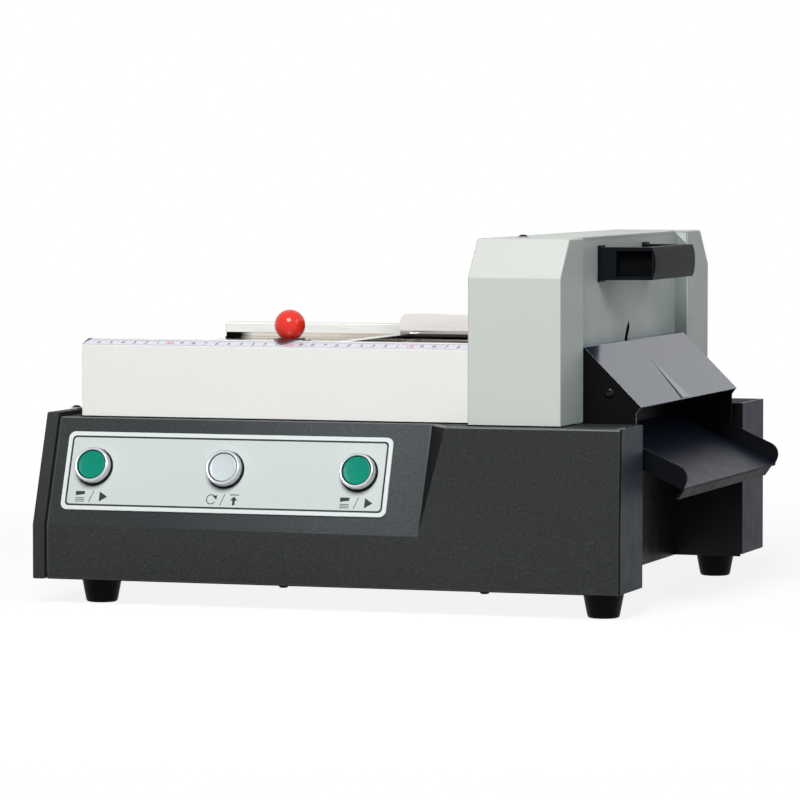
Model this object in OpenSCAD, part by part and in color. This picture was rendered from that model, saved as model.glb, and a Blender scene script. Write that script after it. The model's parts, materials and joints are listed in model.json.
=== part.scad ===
// Electric paper cutter: a base with a slanted control panel, a feed table with a back gauge,
// a cutting head with a screw-driven blade, and an outlet hood over a catch tray.
// Lengths are millimetres. X runs along the feed table, Y from front to back, Z up.
// The pieces are laid out from the cut line (X = 0), the front of the base (Y = 0) and the floor.

/* [Base] */
// Cut line to the left edge of the front cover
base_left = 389; // [360:1:420]
// Cut line to the right flank
base_right = 80; // [70:1:95]
// Front face to rear face
base_depth = 460; // [440:1:500]
// Floor to the top of the base
base_top = 147; // [140:1:160]
// Wall of the moulded covers
cover_wall = 3; // [2:0.5:4]
// Depth of the front cover
front_cover_d = 34; // [33:1:40]
// Height of the crease under the control panel
crease_z = 63; // [58:1:70]
// How far the panel's top edge lies behind its crease
panel_setback = 30.5; // [28:0.5:31]
// Cut line to the plain block at the top of the front cover
block_left_top = 59.5; // [58:0.5:70]
// Cut line to the plain block at the crease
block_left_crease = 80; // [72:1:84]
// Cut line to the panel's right end at its top edge
panel_right_top = 78.5; // [75:0.5:95]
// How far the plain block's top edge lies behind the crease
block_lean = 4; // [2:0.5:6]
// Depth of the front cover's edge in front of the right flank
cover_edge = 2.5; // [2:0.5:4]
// Thickness of the deck plate
deck_t = 4; // [3:0.5:6]
// Thickness of the bottom plate
floor_t = 2; // [1.5:0.5:3]
// Thickness of the rear cover
rear_t = 3; // [2:0.5:4]
// Thickness of the flank and recess sheets
flank_t = 2; // [1.5:0.5:3]
// Dark seam between the front cover's edge and the right flank
seam_w = 1.5; // [1:0.5:3]
// Gap between the front cover's side and the right flank
flank_gap = 1.5; // [1:0.5:3]
// Thickness of the left end cap
cap_t = 10; // [8:1:14]
// Groove between the end cap and the front cover
cap_groove = 2; // [1:0.5:3]
// How far the end cap stands in front of the base
cap_front_proud = 1.5; // [1:0.5:3]
// How far the end cap stands above the base
cap_top_proud = 3.5; // [2:0.5:5]
// How far the end cap's inner step is set in from its edge
cap_step_inset = 5; // [4:0.5:8]
// Cut line to the recess wall
recess_x = 22; // [20.5:0.5:26]
// Front face to the front of the recess
recess_front = 71; // [65:1:72]
// Depth of the rear tower beside the recess
rear_tower_d = 69; // [61:1:71]
// How far the recess walls hang below the base
wall_hang = 2; // [1:0.5:4]

/* [Feet] */
// Height of a rubber foot
foot_h = 20; // [15:1:30]
// Diameter of a foot where it meets the base
foot_d_top = 32; // [28:1:36]
// Diameter of a foot on the floor
foot_d_floor = 25; // [22:1:28]
// Cut line to the right front foot
foot_right_x = 59; // [50:1:60]
// Cut line to the right rear foot
foot_rear_x = 51.5; // [45:0.5:54]
// Left edge of the front cover to the left feet
foot_left_inset = 33; // [29:1:60]
// Front face to the front feet
foot_front_y = 34; // [26:1:45]
// Rear of the recess to the rear feet
foot_rear_gap = 20; // [20:1:36]
// Depth of the screw pocket in a foot
foot_pocket_h = 8; // [6:1:10]

/* [Control panel] */
// Left edge of the front cover to the label plate
label_inset = 9.5; // [8:0.1:20]
// Cut line to the label plate's right end
label_right = 107.9; // [100:0.1:120]
// Length of the label plate up the slant
label_l = 64.5; // [58:0.5:66]
// Middle of the slant to the label plate's centre, up the slant
label_s = 0.3; // [-2:0.1:2]
// Corner radius of the label plate
label_corner = 5.5; // [3:0.5:8]
// Thickness of the label plate
label_t = 1; // [0.5:0.25:1.5]
// End of the label plate to the nearest button
button_inset = 24.4; // [20:0.1:40]
// Middle of the slant to the row of buttons, up the slant
button_s = 3.3; // [0:0.1:6]
// Diameter of a button's bezel
bezel_d = 29.5; // [28:0.5:32]
// Height of a bezel above the panel
bezel_h = 10; // [8:0.5:12]
// Diameter of a button cap
cap_d = 23.6; // [22:0.1:24]
// Height of a button cap above the panel
cap_h = 9; // [8.5:0.5:11]
// Travel of a button
button_travel = 4; // [3:0.5:4]
// Thickness of a button cap's head
cap_head_t = 4.4; // [3.5:0.1:4.5]
// Diameter of a button's threaded barrel
barrel_d = 22; // [21:0.5:22]
// Length of the barrel behind the panel
barrel_l = 20; // [16:1:24]
// Diameter of a button's plunger
plunger_d = 18; // [14:0.5:18]
// Length of the plunger
plunger_l = 12; // [10:0.5:14]
// Width of a contact block
contact_w = 28; // [24:1:30]
// Depth of a contact block
contact_l = 36; // [30:1:40]

/* [Feed table] */
// Left edge of the front cover to the left end of the table
table_inset = 16; // [9:1:40]
// Front face to the front of the table
table_front = 34.6; // [34:0.1:38]
// Rear face to the rear of the table
table_rear_gap = 40; // [20:1:50]
// Wall of the table box
table_wall = 2.5; // [2:0.5:4]
// Height of the paper bed above the floor
bed_z = 197; // [194:0.5:200]
// Thickness of the steel bed plate
bed_t = 2; // [1.5:0.5:3]
// Depth of the front rail that carries the ruler
rail_d = 15.4; // [14:0.2:15.4]
// Height of the front rail's front edge above the bed
rail_rise = 7.8; // [6:0.2:9]
// Rise of the ruler strip towards the back
ruler_rise = 4.5; // [3:0.5:5]
// Flat at the back edge of the ruler strip
ruler_flat = 1; // [0.5:0.5:2]
// Rear of the table to the fence's face
fence_inset = 57; // [50:1:65]
// Gap between the fence and the head
fence_end_gap = 18; // [17:1:40]
// Thickness of the fence
fence_d = 12; // [10:1:14]
// Height of the fence
fence_h = 14; // [12:1:18]
// Depth of the fence's long groove
fence_groove_d = 3; // [2:0.5:4]
// Height of the fence's long groove
fence_groove_h = 3.5; // [3:0.5:4]
// Height of the fence's foot under the groove
fence_foot_h = 1.5; // [1:0.5:2]

/* [Back gauge] */
// Cut line to the gauge pointer at rest
gauge_x = 206; // [200:1:240]
// Width of the guide rail
guide_w = 8; // [6:1:9]
// Height of the guide rail
guide_h = 6; // [5:0.5:7]
// Front face to the guide rail's centre line
guide_y = 60; // [60:0.5:61]
// Length of the guide rail
guide_l = 300; // [290:1:310]
// Cut line to the guide rail's right end
guide_right = 60; // [50:1:65]
// Width of the sliding block along the table
block_w = 28; // [24:1:32]
// Depth of the sliding block
block_d = 19; // [17:0.5:19]
// Height of the sliding block's top above the bed
block_h = 12.6; // [12.6:0.1:13]
// Width of the gauge bar
bar_w = 12; // [10:1:16]
// Height of the gauge bar
bar_h = 5.6; // [4:0.2:6]
// Thickness of the pointer plate
pointer_t = 1.5; // [1:0.25:2]
// Width of the pointer plate
pointer_w = 20; // [18:1:24]
// How far the pointer's tongue reaches over the ruler
pointer_reach = 10; // [8:1:12]
// Length of the gauge shoe
shoe_l = 85; // [60:1:95]
// Height of the gauge shoe's top above the bed
shoe_h = 23.5; // [18:0.5:26]
// Thickness of the gauge shoe
shoe_t = 2; // [1.5:0.5:3]
// Corner radius of the gauge shoe
shoe_corner = 7.3; // [5:0.1:9]
// Radius of the shoe's lower edge where it curls back
shoe_roll = 8; // [6:0.5:9]
// Fence to the back of the shoe
shoe_gap = 16; // [13:1:23]
// Diameter of the red ball knob
ball_d = 24.6; // [23:0.1:27]
// Diameter of the knob's stud
stud_d = 8; // [6:0.5:10]
// Diameter of the flat under the ball
ball_seat_d = 15; // [12:0.5:16]

/* [Cutting head] */
// Cut line to the head's left side
head_left = 44; // [42:0.5:48]
// Cut line to the head's right side
head_right = 30.5; // [29:0.5:34]
// Front face to the head's front
head_front = 12; // [10:1:14]
// Floor to the head's top
head_top = 291; // [291:1:300]
// Height of the slanted top faces
head_slope_h = 29; // [26:1:36]
// How far the front slanted face leans back
head_slant = 24.5; // [20:0.5:25]
// How far the rear slanted face leans forward
rear_slant = 27; // [20:0.5:28]
// How far the head stands out behind the base
head_over = 2.5; // [1:0.5:2.5]
// Wall of the head covers
head_wall = 2.5; // [2:0.5:2.5]
// Depth of the front cheek
front_cheek_d = 64; // [64:0.5:65]
// Depth of the rear cheek
rear_cheek_d = 69.5; // [69.5:0.5:70.5]
// Cut line to the outer face of the recessed side panel
side_panel_x = 19.5; // [19.5:0.5:21]
// Bed to the lower edge of the side panel
side_panel_rise = 6; // [4:0.5:7]
// Height of the infeed window above the bed
window_h = 39; // [38:1:43]
// Width of the pointed notch in the side panel
notch_w = 8.6; // [5:0.1:9]
// Height of the pointed notch in the side panel
notch_h = 18.6; // [14:0.1:20]
// Lean of the pointed notch towards the back
notch_lean = 12; // [8:1:14]
// Front face to the notch
notch_y = 236.3; // [225:0.1:245]

/* [Blade drive] */
// Gap between the raised carrier and the top beam
carrier_room = 2; // [1:0.5:5]
// Height of the blade
blade_h = 43; // [40:1:43]
// Thickness of the blade
blade_t = 3; // [2:0.5:3]
// Height of the ground bevel on the blade
blade_bevel = 6; // [4:0.5:8]
// Thickness of the carrier bar
carrier_t = 12; // [10:0.5:12]
// Height of the carrier bar
carrier_h = 34; // [30:1:34]
// Edge of the blade to the carrier's lower face
carrier_over_edge = 11; // [8:1:11]
// Thickness of the clamp bar
clamp_t = 12.5; // [10:0.5:12.5]
// Height of the clamp bar
clamp_h = 28; // [24:1:28]
// How far the clamp leads the blade at rest
clamp_lead = 1.2; // [1:0.1:1.5]
// Cut line to the lead screws
screw_x = 5; // [4.5:0.5:5.5]
// Diameter of a lead screw
screw_d = 12; // [10:0.5:12]
// Diameter of a carrier column
column_d = 12; // [10:0.5:12]
// Diameter of a clamp column
clamp_column_d = 10; // [8:0.5:10]
// Cut line to the clamp columns
clamp_column_x = 15; // [14:0.5:16]
// Radial clearance of every running fit
run_gap = 0.05; // [0.02:0.01:0.1]
// Pitch diameter of a belt pulley
pulley_d = 21; // [18:0.5:22]
// Diameter of a pulley's flanges
pulley_flange_d = 26; // [25.5:0.5:27]
// Width of the drive belt
belt_w = 8; // [6:0.5:9]
// Thickness of the drive belt
belt_t = 2; // [1.5:0.25:2]
// Gap between belt and pulley
belt_gap = 0.3; // [0.2:0.05:0.4]
// Cut line to the motor shaft
motor_x = 70; // [62:1:90]
// Diameter of the motor shaft
motor_shaft_d = 10; // [8:1:12]
// Width of the gearbox
gearbox_w = 60; // [54:1:66]
// Height of the gearbox
gearbox_h = 28; // [24:1:32]
// Diameter of the motor
motor_d = 56; // [50:1:60]
// Length of the motor
motor_l = 54; // [45:1:56]

/* [Outlet] */
// Cut line to the lip of the hood
hood_lip_x = 76.5; // [72:0.5:80]
// Bed to the upper edge of the hood
hood_rise = 9; // [9:0.5:13]
// Front of the recess to the hood's near side
hood_front_gap = 7; // [6:0.5:9]
// Rear of the recess to the hood's far side
hood_rear_gap = 7; // [5:0.5:8]
// Thickness of the hood and tray sheets
sheet_t = 1.5; // [1:0.25:1.5]
// Cut line to the straight outer edge of the hood's sides
hood_side_x = 72.5; // [66:0.5:73]
// Top of the base to the lower edge of the hood's sides
hood_side_drop = 27; // [12:1:37]
// Width of the fine slit in the hood
slit_w = 0.9; // [0.6:0.1:1.5]
// Length of the fine slit in the hood
slit_l = 46; // [35:1:50]
// Cut line to the outer end of the tray
tray_end = 113; // [105:0.5:120]
// Top of the base to the tray where it leaves the recess wall
tray_drop = 9; // [7:0.5:13]
// Slope of the tray in degrees
tray_slope = 24.5; // [18:0.5:26]
// Height of the tray's side walls, square to the slope
tray_wall_h = 14; // [10:0.5:16]
// Corner radius of the tray's side walls
tray_corner = 10; // [6:0.5:12]
// Length of the lip folded under the tray's end
tray_lip = 11.5; // [8:0.5:13]
// Lean of the lip from upright, back under the tray, in degrees
lip_lean = 35; // [28:1:38]
// Side of the tray to the end of its lip
lip_inset = 8; // [5:0.5:12]

/* [Carry handle] */
// Front face to the near end of the handle
handle_front = 154; // [150:1:158]
// Overall length of the handle
handle_l = 150; // [140:1:156]
// How far the grip stands off the panel
handle_reach = 44; // [42:0.5:48]
// Height of the grip
handle_h = 26; // [22:0.5:27]
// Height of the fixing flanges
handle_flange_h = 29; // [28:1:32]
// Thickness of the fixing flanges
handle_flange_t = 2; // [1.5:0.5:3]
// Head's top to the grip's centre line
handle_drop = 22; // [20:0.5:25]
// Thickness of the grip
grip_t = 11; // [10:0.5:13]
// Length of a fixing flange and of a leg at the panel
leg_w = 16; // [15:0.5:17]
// How far the near leg leans inward from the panel to the grip
leg_lean = 13; // [10:0.5:14]
// How far the far leg leans inward from the panel to the grip
far_lean = 10; // [8:0.5:14]
// Corner radius of the handle
handle_corner = 3; // [2:0.5:5]
// Depth of the hollow in the near leg
leg_pocket_d = 9; // [7:0.5:10]

/* [Power entry] */
// Cut line to the power inlet
inlet_x = 300; // [280:1:320]
// Cut line to the power switch
switch_x = 250; // [235:1:255]
// Floor to the inlet and the switch
power_z = 70; // [60:1:90]
// How far the rear fittings stand off the rear cover
rear_proud = 2.5; // [2:0.5:4]
// Tilt of the rocker from level
rocker_tilt = 8; // [6:1:9]

/* [Hidden] */
$fn = 48;
EPS = 0.01;
FIT = 0.1;

cover_right = base_right - flank_t - flank_gap;
tilt = atan(panel_setback / (base_top - crease_z));
slant_l = (base_top - crease_z) / cos(tilt);
label_w = base_left - label_inset - label_right;
label_x = label_right + label_w / 2;
button_pitch = label_w / 2 - button_inset;
cap_left_x = -base_left - cap_groove - cap_t;
rear_y = base_depth + rear_proud;
mid_x = (cap_left_x + tray_end) / 2;
mid_y = (rear_y - cap_front_proud) / 2;
rear_in = base_depth - rear_t;
recess_rear = rear_in - rear_tower_d;
foot_rear_y = recess_rear + foot_rear_gap;
foot_left_x = base_left - foot_left_inset;
table_left = base_left - table_inset;
table_rear = base_depth - table_rear_gap;
fence_y = table_rear - fence_inset;
shoe_y = fence_y - shoe_gap;
rail_z = bed_z + rail_rise;
deck_z = base_top - deck_t;
floor_top = foot_h + floor_t;
wall_x = recess_x - flank_t;
wall_z = foot_h - wall_hang;

cheek_front = head_front + front_cheek_d;
head_rear = base_depth + head_over;
cheek_rear = head_rear - rear_cheek_d;
head_fold_z = head_top - head_slope_h;
side_panel_z = bed_z + side_panel_rise;
window_z = bed_z + window_h;
handle_z = head_top - handle_drop;
head_mid = (cheek_front + cheek_rear) / 2;
head_half = (cheek_rear - cheek_front) / 2;
frame_t = 8;
end_l = 32;
frame_gap = 2;
frame_off = head_half + end_l + frame_gap;
screw_inset = 8;
column_step = 16;
screw_off = head_half + screw_inset;
column_off = screw_off + column_step;
clamp_column_off = head_half + column_step;
frame_left = 30;
frame_right = 14;
beam_t = 6;
beam_gap = 0.5;
beam_z = head_top - head_wall - beam_gap - beam_t;
beam_inset = 4;
bed_front_gap = 4;
bed_rear_gap = 7;
bed_front = cheek_front + bed_front_gap;
bed_rear = cheek_rear - bed_rear_gap;
carrier_top = beam_z - carrier_room;
carrier_z = carrier_top - carrier_h;
edge_z = carrier_z - carrier_over_edge;
carrier_x = blade_t / 2;
end_left = 3;
end_right = 15;
clamp_z = edge_z - clamp_lead;
clamp_right = 4.5;
clamp_end_h = 18;
clamp_end_rise = 4;
clamp_end_z = clamp_z + clamp_end_rise;
clamp_end_w = 20;
lug_t = 8;
nut_h = 8;
nut_d = 16;
stick_w = 10;
stick_h = 10;
stick_left = 4;
beam_left = 16;
beam_right = 8;
nose_z = 3;
pulley_rise = 16;
pulley_z = foot_h + pulley_rise;
flange_h = 1.5;
belt_room = 0.5;
pulley_h = belt_w + 2 * (flange_h + belt_room);
bearing_h = 10;
bearing_d = 22;
screw_end_gap = 0.4;
bracket_z = 52;
bracket_t = 5;
post_d = 10;
post_off = 26;
bracket_w = 70;

tray_z = base_top - tray_drop;
tray_over = tray_corner * (1 - cos(tray_slope)) + (tray_wall_h - tray_corner) * sin(tray_slope);
tray_fold = tray_end - tray_over;
tray_run = tray_fold - recess_x;
tray_fold_z = tray_z - tray_run * tan(tray_slope);
hood_front = recess_front + hood_front_gap;
hood_rear = recess_rear - hood_rear_gap;
hood_z = bed_z + hood_rise;
hood_side_z = base_top - hood_side_drop;
tray_gap = 0.5;
tray_front = hood_front + sheet_t + tray_gap;
tray_rear = hood_rear - sheet_t - tray_gap;
hood_lip_z = hood_z - (hood_lip_x - head_right);

screw_head_d = 8;
screw_head_h = 2.5;
screw_shank_d = 4;

dark_grey = [0.20, 0.205, 0.21];
blue_grey = [0.25, 0.26, 0.30];
off_white = [0.92, 0.92, 0.90];
light_grey = [0.79, 0.80, 0.78];
black = [0.06, 0.06, 0.07];
steel = [0.72, 0.73, 0.75];
bright = [0.85, 0.86, 0.87];
green = [0.08, 0.57, 0.47];
brass = [0.78, 0.62, 0.30];
pointer_grey = [0.30, 0.30, 0.32];
motor_grey = [0.30, 0.32, 0.35];

// Moves the layout so that the origin is the middle of the footprint, on the floor
module place() translate([-mid_x, -mid_y, 0]) children();

// Box between two corners
module block(low, high) translate(low) cube(high - low);

// Outline in Y and Z, drawn along X
module along_x(x0, x1) translate([x0, 0, 0]) rotate([90, 0, 90]) linear_extrude(x1 - x0) children();

// Outline in X and Z, drawn along Y
module along_y(y0, y1) translate([0, y1, 0]) rotate([90, 0, 0]) linear_extrude(y1 - y0) children();

// Local frame on the slanted panel: X along it, Y up the slant, Z out of it
module on_panel(x, s) translate([x, 0, crease_z]) rotate([90 - tilt, 0, 0])
    translate([0, slant_l / 2 + s, 0]) children();

// The same thing at the three button places
module at_buttons() for (i = [-1:1]) on_panel(-label_x + i * button_pitch, button_s) children();

// The same thing at both ends of the head, seen from the middle of the paper opening
module at_ends(off) for (s = [-1, 1]) translate([0, head_mid + s * off, 0]) children();

// Plain ring along Z
module ring(d_out, d_in, h) difference() {
    cylinder(d = d_out, h = h);
    translate([0, 0, -1]) cylinder(d = d_in, h = h + 2);
}

// Pan-head screw along Z, its head above Z = 0 and its shank below
module screw(shank_l) {
    cylinder(d = screw_head_d, h = screw_head_h);
    if (shank_l > 0) translate([0, 0, -shank_l]) cylinder(d = screw_shank_d, h = shank_l + EPS);
}

// Hole for a screw's shank, from Z = 0 up through a wall
module screw_hole(wall) translate([0, 0, -1]) cylinder(d = screw_shank_d + 2 * FIT, h = wall + 2);

// Bore for a running fit, from Z = 0 up through a wall
module run_bore(d, wall) translate([0, 0, -1]) cylinder(d = d + 2 * run_gap, h = wall + 2);

// Corner arc points from one angle to another
function arc(c, r, a0, a1, n = 8) =
    [for (i = [0:n]) c + r * [cos(a0 + (a1 - a0) * i / n), sin(a0 + (a1 - a0) * i / n)]];

// Outline of the front cover beside the control panel, drawn in by a wall
function panel_outline(w) = [
    [w, w > 0 ? foot_h - 1 : foot_h],
    [w, crease_z - w * tan(tilt / 2)],
    [(base_top - w - crease_z) * tan(tilt) + w / cos(tilt), base_top - w],
    [front_cover_d + (w > 0 ? 1 : 0), base_top - w],
    [front_cover_d + (w > 0 ? 1 : 0), w > 0 ? foot_h - 1 : foot_h]];

// Plain block beside the panel, cut off by the drafted transition face
module cover_block() polyhedron(
    points = [[-block_left_crease, 0, crease_z], [-block_left_top, block_lean, base_top],
        [-panel_right_top, panel_setback, base_top], [cover_right, 0, crease_z],
        [cover_right, block_lean, base_top], [cover_right, panel_setback, base_top]],
    faces = [[0, 2, 1], [3, 4, 5], [0, 1, 4, 3], [1, 2, 5, 4], [0, 3, 5, 2]]);

// Front line of the plain block in Y and Z, so far behind its face
function block_line(y) = [[y, foot_h], [y, crease_z], [y + block_lean, base_top]];

module front_cover() place() color(dark_grey) difference() {
    union() {
        along_x(-base_left, cover_right) polygon(panel_outline(0));
        cover_block();
        along_x(cover_right - cover_wall, base_right) polygon([
            each block_line(0), each [for (i = [2:-1:0]) block_line(cover_edge)[i]]]);
    }
    along_x(-base_left + cover_wall, cover_right - cover_wall) polygon(panel_outline(cover_wall));
    block([-block_left_top + cover_wall, block_lean + cover_wall, foot_h - 1],
        [cover_right - cover_wall, front_cover_d + 1, base_top - cover_wall]);
    at_buttons() translate([0, 0, -2 * cover_wall]) cylinder(d = barrel_d + 2 * FIT, h = 3 * cover_wall);
}

// Outline of the end cap, set in from its edge
function cap_outline(inset) = let (rise = cap_top_proud - inset, out = cap_front_proud - inset) [
    [-out, foot_h + inset],
    [-out, crease_z],
    [(base_top + rise - crease_z) * tan(tilt) - out, base_top + rise],
    [base_depth - inset, base_top + rise],
    [base_depth - inset, foot_h + inset]];

module left_end_cap() place() color(dark_grey) {
    along_x(cap_left_x, -base_left - cap_groove) polygon(cap_outline(0));
    along_x(-base_left - cap_groove, -base_left) polygon(cap_outline(cap_step_inset));
}

// Cut for the recess and its walls through a plate of the base
module recess_cut(z, t)
    block([wall_x, recess_front - flank_t, z - 1], [base_right, recess_rear + flank_t, z + t + 1]);

module top_deck() place() color(dark_grey) difference() {
    block([-base_left, front_cover_d, deck_z], [base_right - flank_t, rear_in, base_top]);
    recess_cut(deck_z, deck_t);
    at_ends(screw_off) translate([screw_x, 0, deck_z - 1]) cylinder(d = screw_d + 2, h = deck_t + 2);
}

module rear_cover() place() color(dark_grey) difference() {
    block([-base_left, rear_in, foot_h], [base_right - flank_t, base_depth, base_top]);
    translate([-inlet_x, 0, power_z]) rear_cut(inlet_w, inlet_h);
    translate([-switch_x, 0, power_z]) rear_cut(switch_w, switch_h);
    for (i = [0:vent_count - 1])
        translate([-vent_left + i * vent_pitch, 0, vent_z]) rear_cut(vent_w, vent_h);
    rear_screw_places() rotate([-90, 0, 0]) translate([0, 0, -rear_t]) screw_hole(rear_t);
}
vent_count = 12;
vent_pitch = 9;
vent_left = 190;
vent_z = 84;
vent_w = 4;
vent_h = 50;
inlet_w = 28;
inlet_h = 21;
switch_w = 18;
switch_h = 26;

// Rectangular cut through the rear cover, centred on the place given
module rear_cut(w, h) translate([-w / 2, rear_in - 1, -h / 2]) cube([w, rear_t + 2, h]);

// Screw places along the edges of the rear cover
rear_screw_inset = 12;
rear_tab_t = 8;
module rear_screw_places()
    for (x = [-base_left + rear_screw_inset, -base_left / 2, base_right - rear_screw_inset])
        translate([x, base_depth, base_top - deck_t - rear_tab_t / 2 - 2]) children();

module bottom_plate() place() color(steel) difference() {
    block([-base_left + cover_wall, cover_wall, foot_h], [cover_right - cover_wall, rear_in, floor_top]);
    recess_cut(foot_h, floor_t);
    foot_places() translate([0, 0, foot_h]) screw_hole(floor_t);
    under_screw_places() translate([0, 0, foot_h]) screw_hole(floor_t);
}

// Places of the four feet
module foot_places() for (p = [[-foot_left_x, foot_front_y], [foot_right_x, foot_front_y],
        [-foot_left_x, foot_rear_y], [foot_rear_x, foot_rear_y]])
    translate(p) children();

// Places of the screws along the front and rear of the bottom plate
under_screw_inset = 12;
under_screw_rows = [under_screw_inset, rear_in - under_screw_inset];
module under_screw_places() for (x = [-base_left / 2, -frame_left], y = under_screw_rows)
    translate([x, y, 0]) children();

module right_front_flank() place() color(blue_grey) {
    along_x(base_right - flank_t, base_right) polygon([
        each block_line(cover_edge + seam_w), [recess_front, base_top], [recess_front, foot_h]]);
    block([wall_x, recess_front - flank_t, foot_h], [base_right - flank_t + EPS, recess_front, base_top]);
}

module recess_back_wall() place() color(black)
    block([wall_x, recess_front, wall_z], [recess_x, recess_rear, base_top]);

module right_rear_flank() place() color(blue_grey) {
    block([base_right - flank_t, recess_rear, foot_h], [base_right, base_depth, base_top]);
    block([wall_x, recess_rear, wall_z], [base_right - flank_t + EPS, recess_rear + flank_t, base_top]);
}

module rubber_feet() place() color(black) foot_places() rotate_extrude() polygon([
    [screw_head_d / 2 + 1, 0], [foot_d_floor / 2, 0], [foot_d_top / 2, foot_h],
    [screw_shank_d / 2 + FIT, foot_h], [screw_shank_d / 2 + FIT, foot_pocket_h],
    [screw_head_d / 2 + 1, foot_pocket_h]]);

module foot_screws() place() color(steel) foot_places() translate([0, 0, foot_pocket_h])
    rotate([180, 0, 0]) screw(foot_h - foot_pocket_h + floor_t + 2);

module base_screws() place() color(black) {
    under_screw_places() translate([0, 0, foot_h]) rotate([180, 0, 0]) screw(floor_t + 2);
    rear_screw_places() rotate([-90, 0, 0]) screw(rear_t + 2);
}

// Rounded rectangle about the origin
module rounded(w, l, r) hull() for (x = [-1, 1], y = [-1, 1])
    translate([x * (w / 2 - r), y * (l / 2 - r)]) circle(r);

module label_plate() place() color([0.82, 0.85, 0.85]) difference() {
    on_panel(-label_x, label_s) linear_extrude(label_t) rounded(label_w, label_l, label_corner);
    at_buttons() translate([0, 0, -1]) cylinder(d = barrel_d + 2 * FIT, h = label_t + 2);
}

// Lowest place that a pressed cap reaches in its bezel
cap_floor = cap_h - cap_head_t - button_travel - FIT;

module button_bezels() place() color(bright) at_buttons() rotate_extrude() polygon([
    [plunger_d / 2 + run_gap, -barrel_l], [barrel_d / 2, -barrel_l], [barrel_d / 2, label_t],
    [bezel_d / 2, label_t], [bezel_d / 2, bezel_h - 2], [bezel_d / 2 - 1.5, bezel_h],
    [cap_d / 2 + run_gap, bezel_h], [cap_d / 2 + run_gap, cap_floor + label_t],
    [plunger_d / 2 + run_gap, cap_floor + label_t]]);

module contact_blocks() place() color([0.15, 0.17, 0.2]) at_buttons()
    block([-contact_w / 2, -contact_w / 2, -barrel_l - contact_l], [contact_w / 2, contact_w / 2, -barrel_l]);

// One push button with a shallow dish in its face and a plunger behind it
cap_under = cap_h + label_t - cap_head_t;
cap_edge = 0.8;
cap_dish = 0.6;
module button_cap(i) on_panel(-label_x + i * button_pitch, button_s) rotate_extrude() polygon([
    [0, cap_under - plunger_l], [plunger_d / 2, cap_under - plunger_l], [plunger_d / 2, cap_under],
    [cap_d / 2, cap_under], [cap_d / 2, cap_h - cap_edge], [cap_d / 2 - cap_edge, cap_h],
    [0, cap_h - cap_dish]]);

module cut_button_left() place() color(green) button_cap(-1);

module reset_button() place() color([0.85, 0.86, 0.87]) button_cap(0);

module cut_button_right() place() color(green) button_cap(1);

module feed_table() place() color(off_white) difference() {
    union() {
        block([-table_left, table_front, base_top], [-head_left, table_rear, bed_z - bed_t]);
        block([-table_left, table_front, bed_z - bed_t - EPS], [-head_left, table_front + rail_d, rail_z]);
    }
    block([-table_left + table_wall, table_front + table_wall, base_top - 1],
        [-head_left - table_wall, table_rear - table_wall, bed_z - bed_t]);
    block([-table_left + table_wall, table_front + rail_d, bed_z - bed_t - table_wall],
        [-head_left - table_wall, table_rear - table_wall, bed_z]);
}

module bed_plate() place() color(steel) {
    block([-table_left, table_front + rail_d, bed_z - bed_t], [-head_left, table_rear, bed_z]);
    block([-head_left - EPS, bed_front, bed_z - bed_t], [-stick_left, bed_rear, bed_z]);
}

module ruler_bar() place() color([0.90, 0.90, 0.95]) along_x(-table_left, -head_left) polygon([
    [table_front, rail_z], [table_front + rail_d - ruler_flat, rail_z + ruler_rise],
    [table_front + rail_d, rail_z + ruler_rise], [table_front + rail_d, rail_z]]);

module rear_fence() place() color(light_grey) along_x(-table_left, -head_left - fence_end_gap) polygon([
    [fence_y, bed_z], [fence_y, bed_z + fence_foot_h],
    [fence_y + fence_groove_d, bed_z + fence_foot_h],
    [fence_y + fence_groove_d, bed_z + fence_foot_h + fence_groove_h],
    [fence_y, bed_z + fence_foot_h + fence_groove_h], [fence_y, bed_z + fence_h - 1],
    [fence_y + 1, bed_z + fence_h], [fence_y + fence_d, bed_z + fence_h], [fence_y + fence_d, bed_z]]);

module guide_rail() place() color(steel) block([-guide_right - guide_l, guide_y - guide_w / 2, bed_z],
    [-guide_right, guide_y + guide_w / 2, bed_z + guide_h]);

gauge_lift = 0.4;
shoe_lift = 1.2;
shoe_front = shoe_y - shoe_t;
bar_under = 5;
module gauge_arm() place() color(blue_grey) difference() {
    union() {
        block([-gauge_x - block_w / 2, guide_y - block_d / 2, bed_z + gauge_lift],
            [-gauge_x + block_w / 2, guide_y + block_d / 2, bed_z + block_h]);
        block([-gauge_x - bar_w / 2, guide_y + block_d / 2 - EPS, bed_z + gauge_lift],
            [-gauge_x + bar_w / 2, shoe_front + bar_under, bed_z + gauge_lift + bar_h]);
    }
    curl_place() cylinder(r = shoe_roll, h = 2 * bar_w);
    block([-gauge_x - block_w, guide_y - guide_w / 2 - FIT, bed_z],
        [-gauge_x + block_w, guide_y + guide_w / 2 + FIT, bed_z + guide_h + FIT]);
    translate([-gauge_x, guide_y, bed_z]) cylinder(d = stud_d + 2 * run_gap, h = block_h + 1);
}

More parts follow.
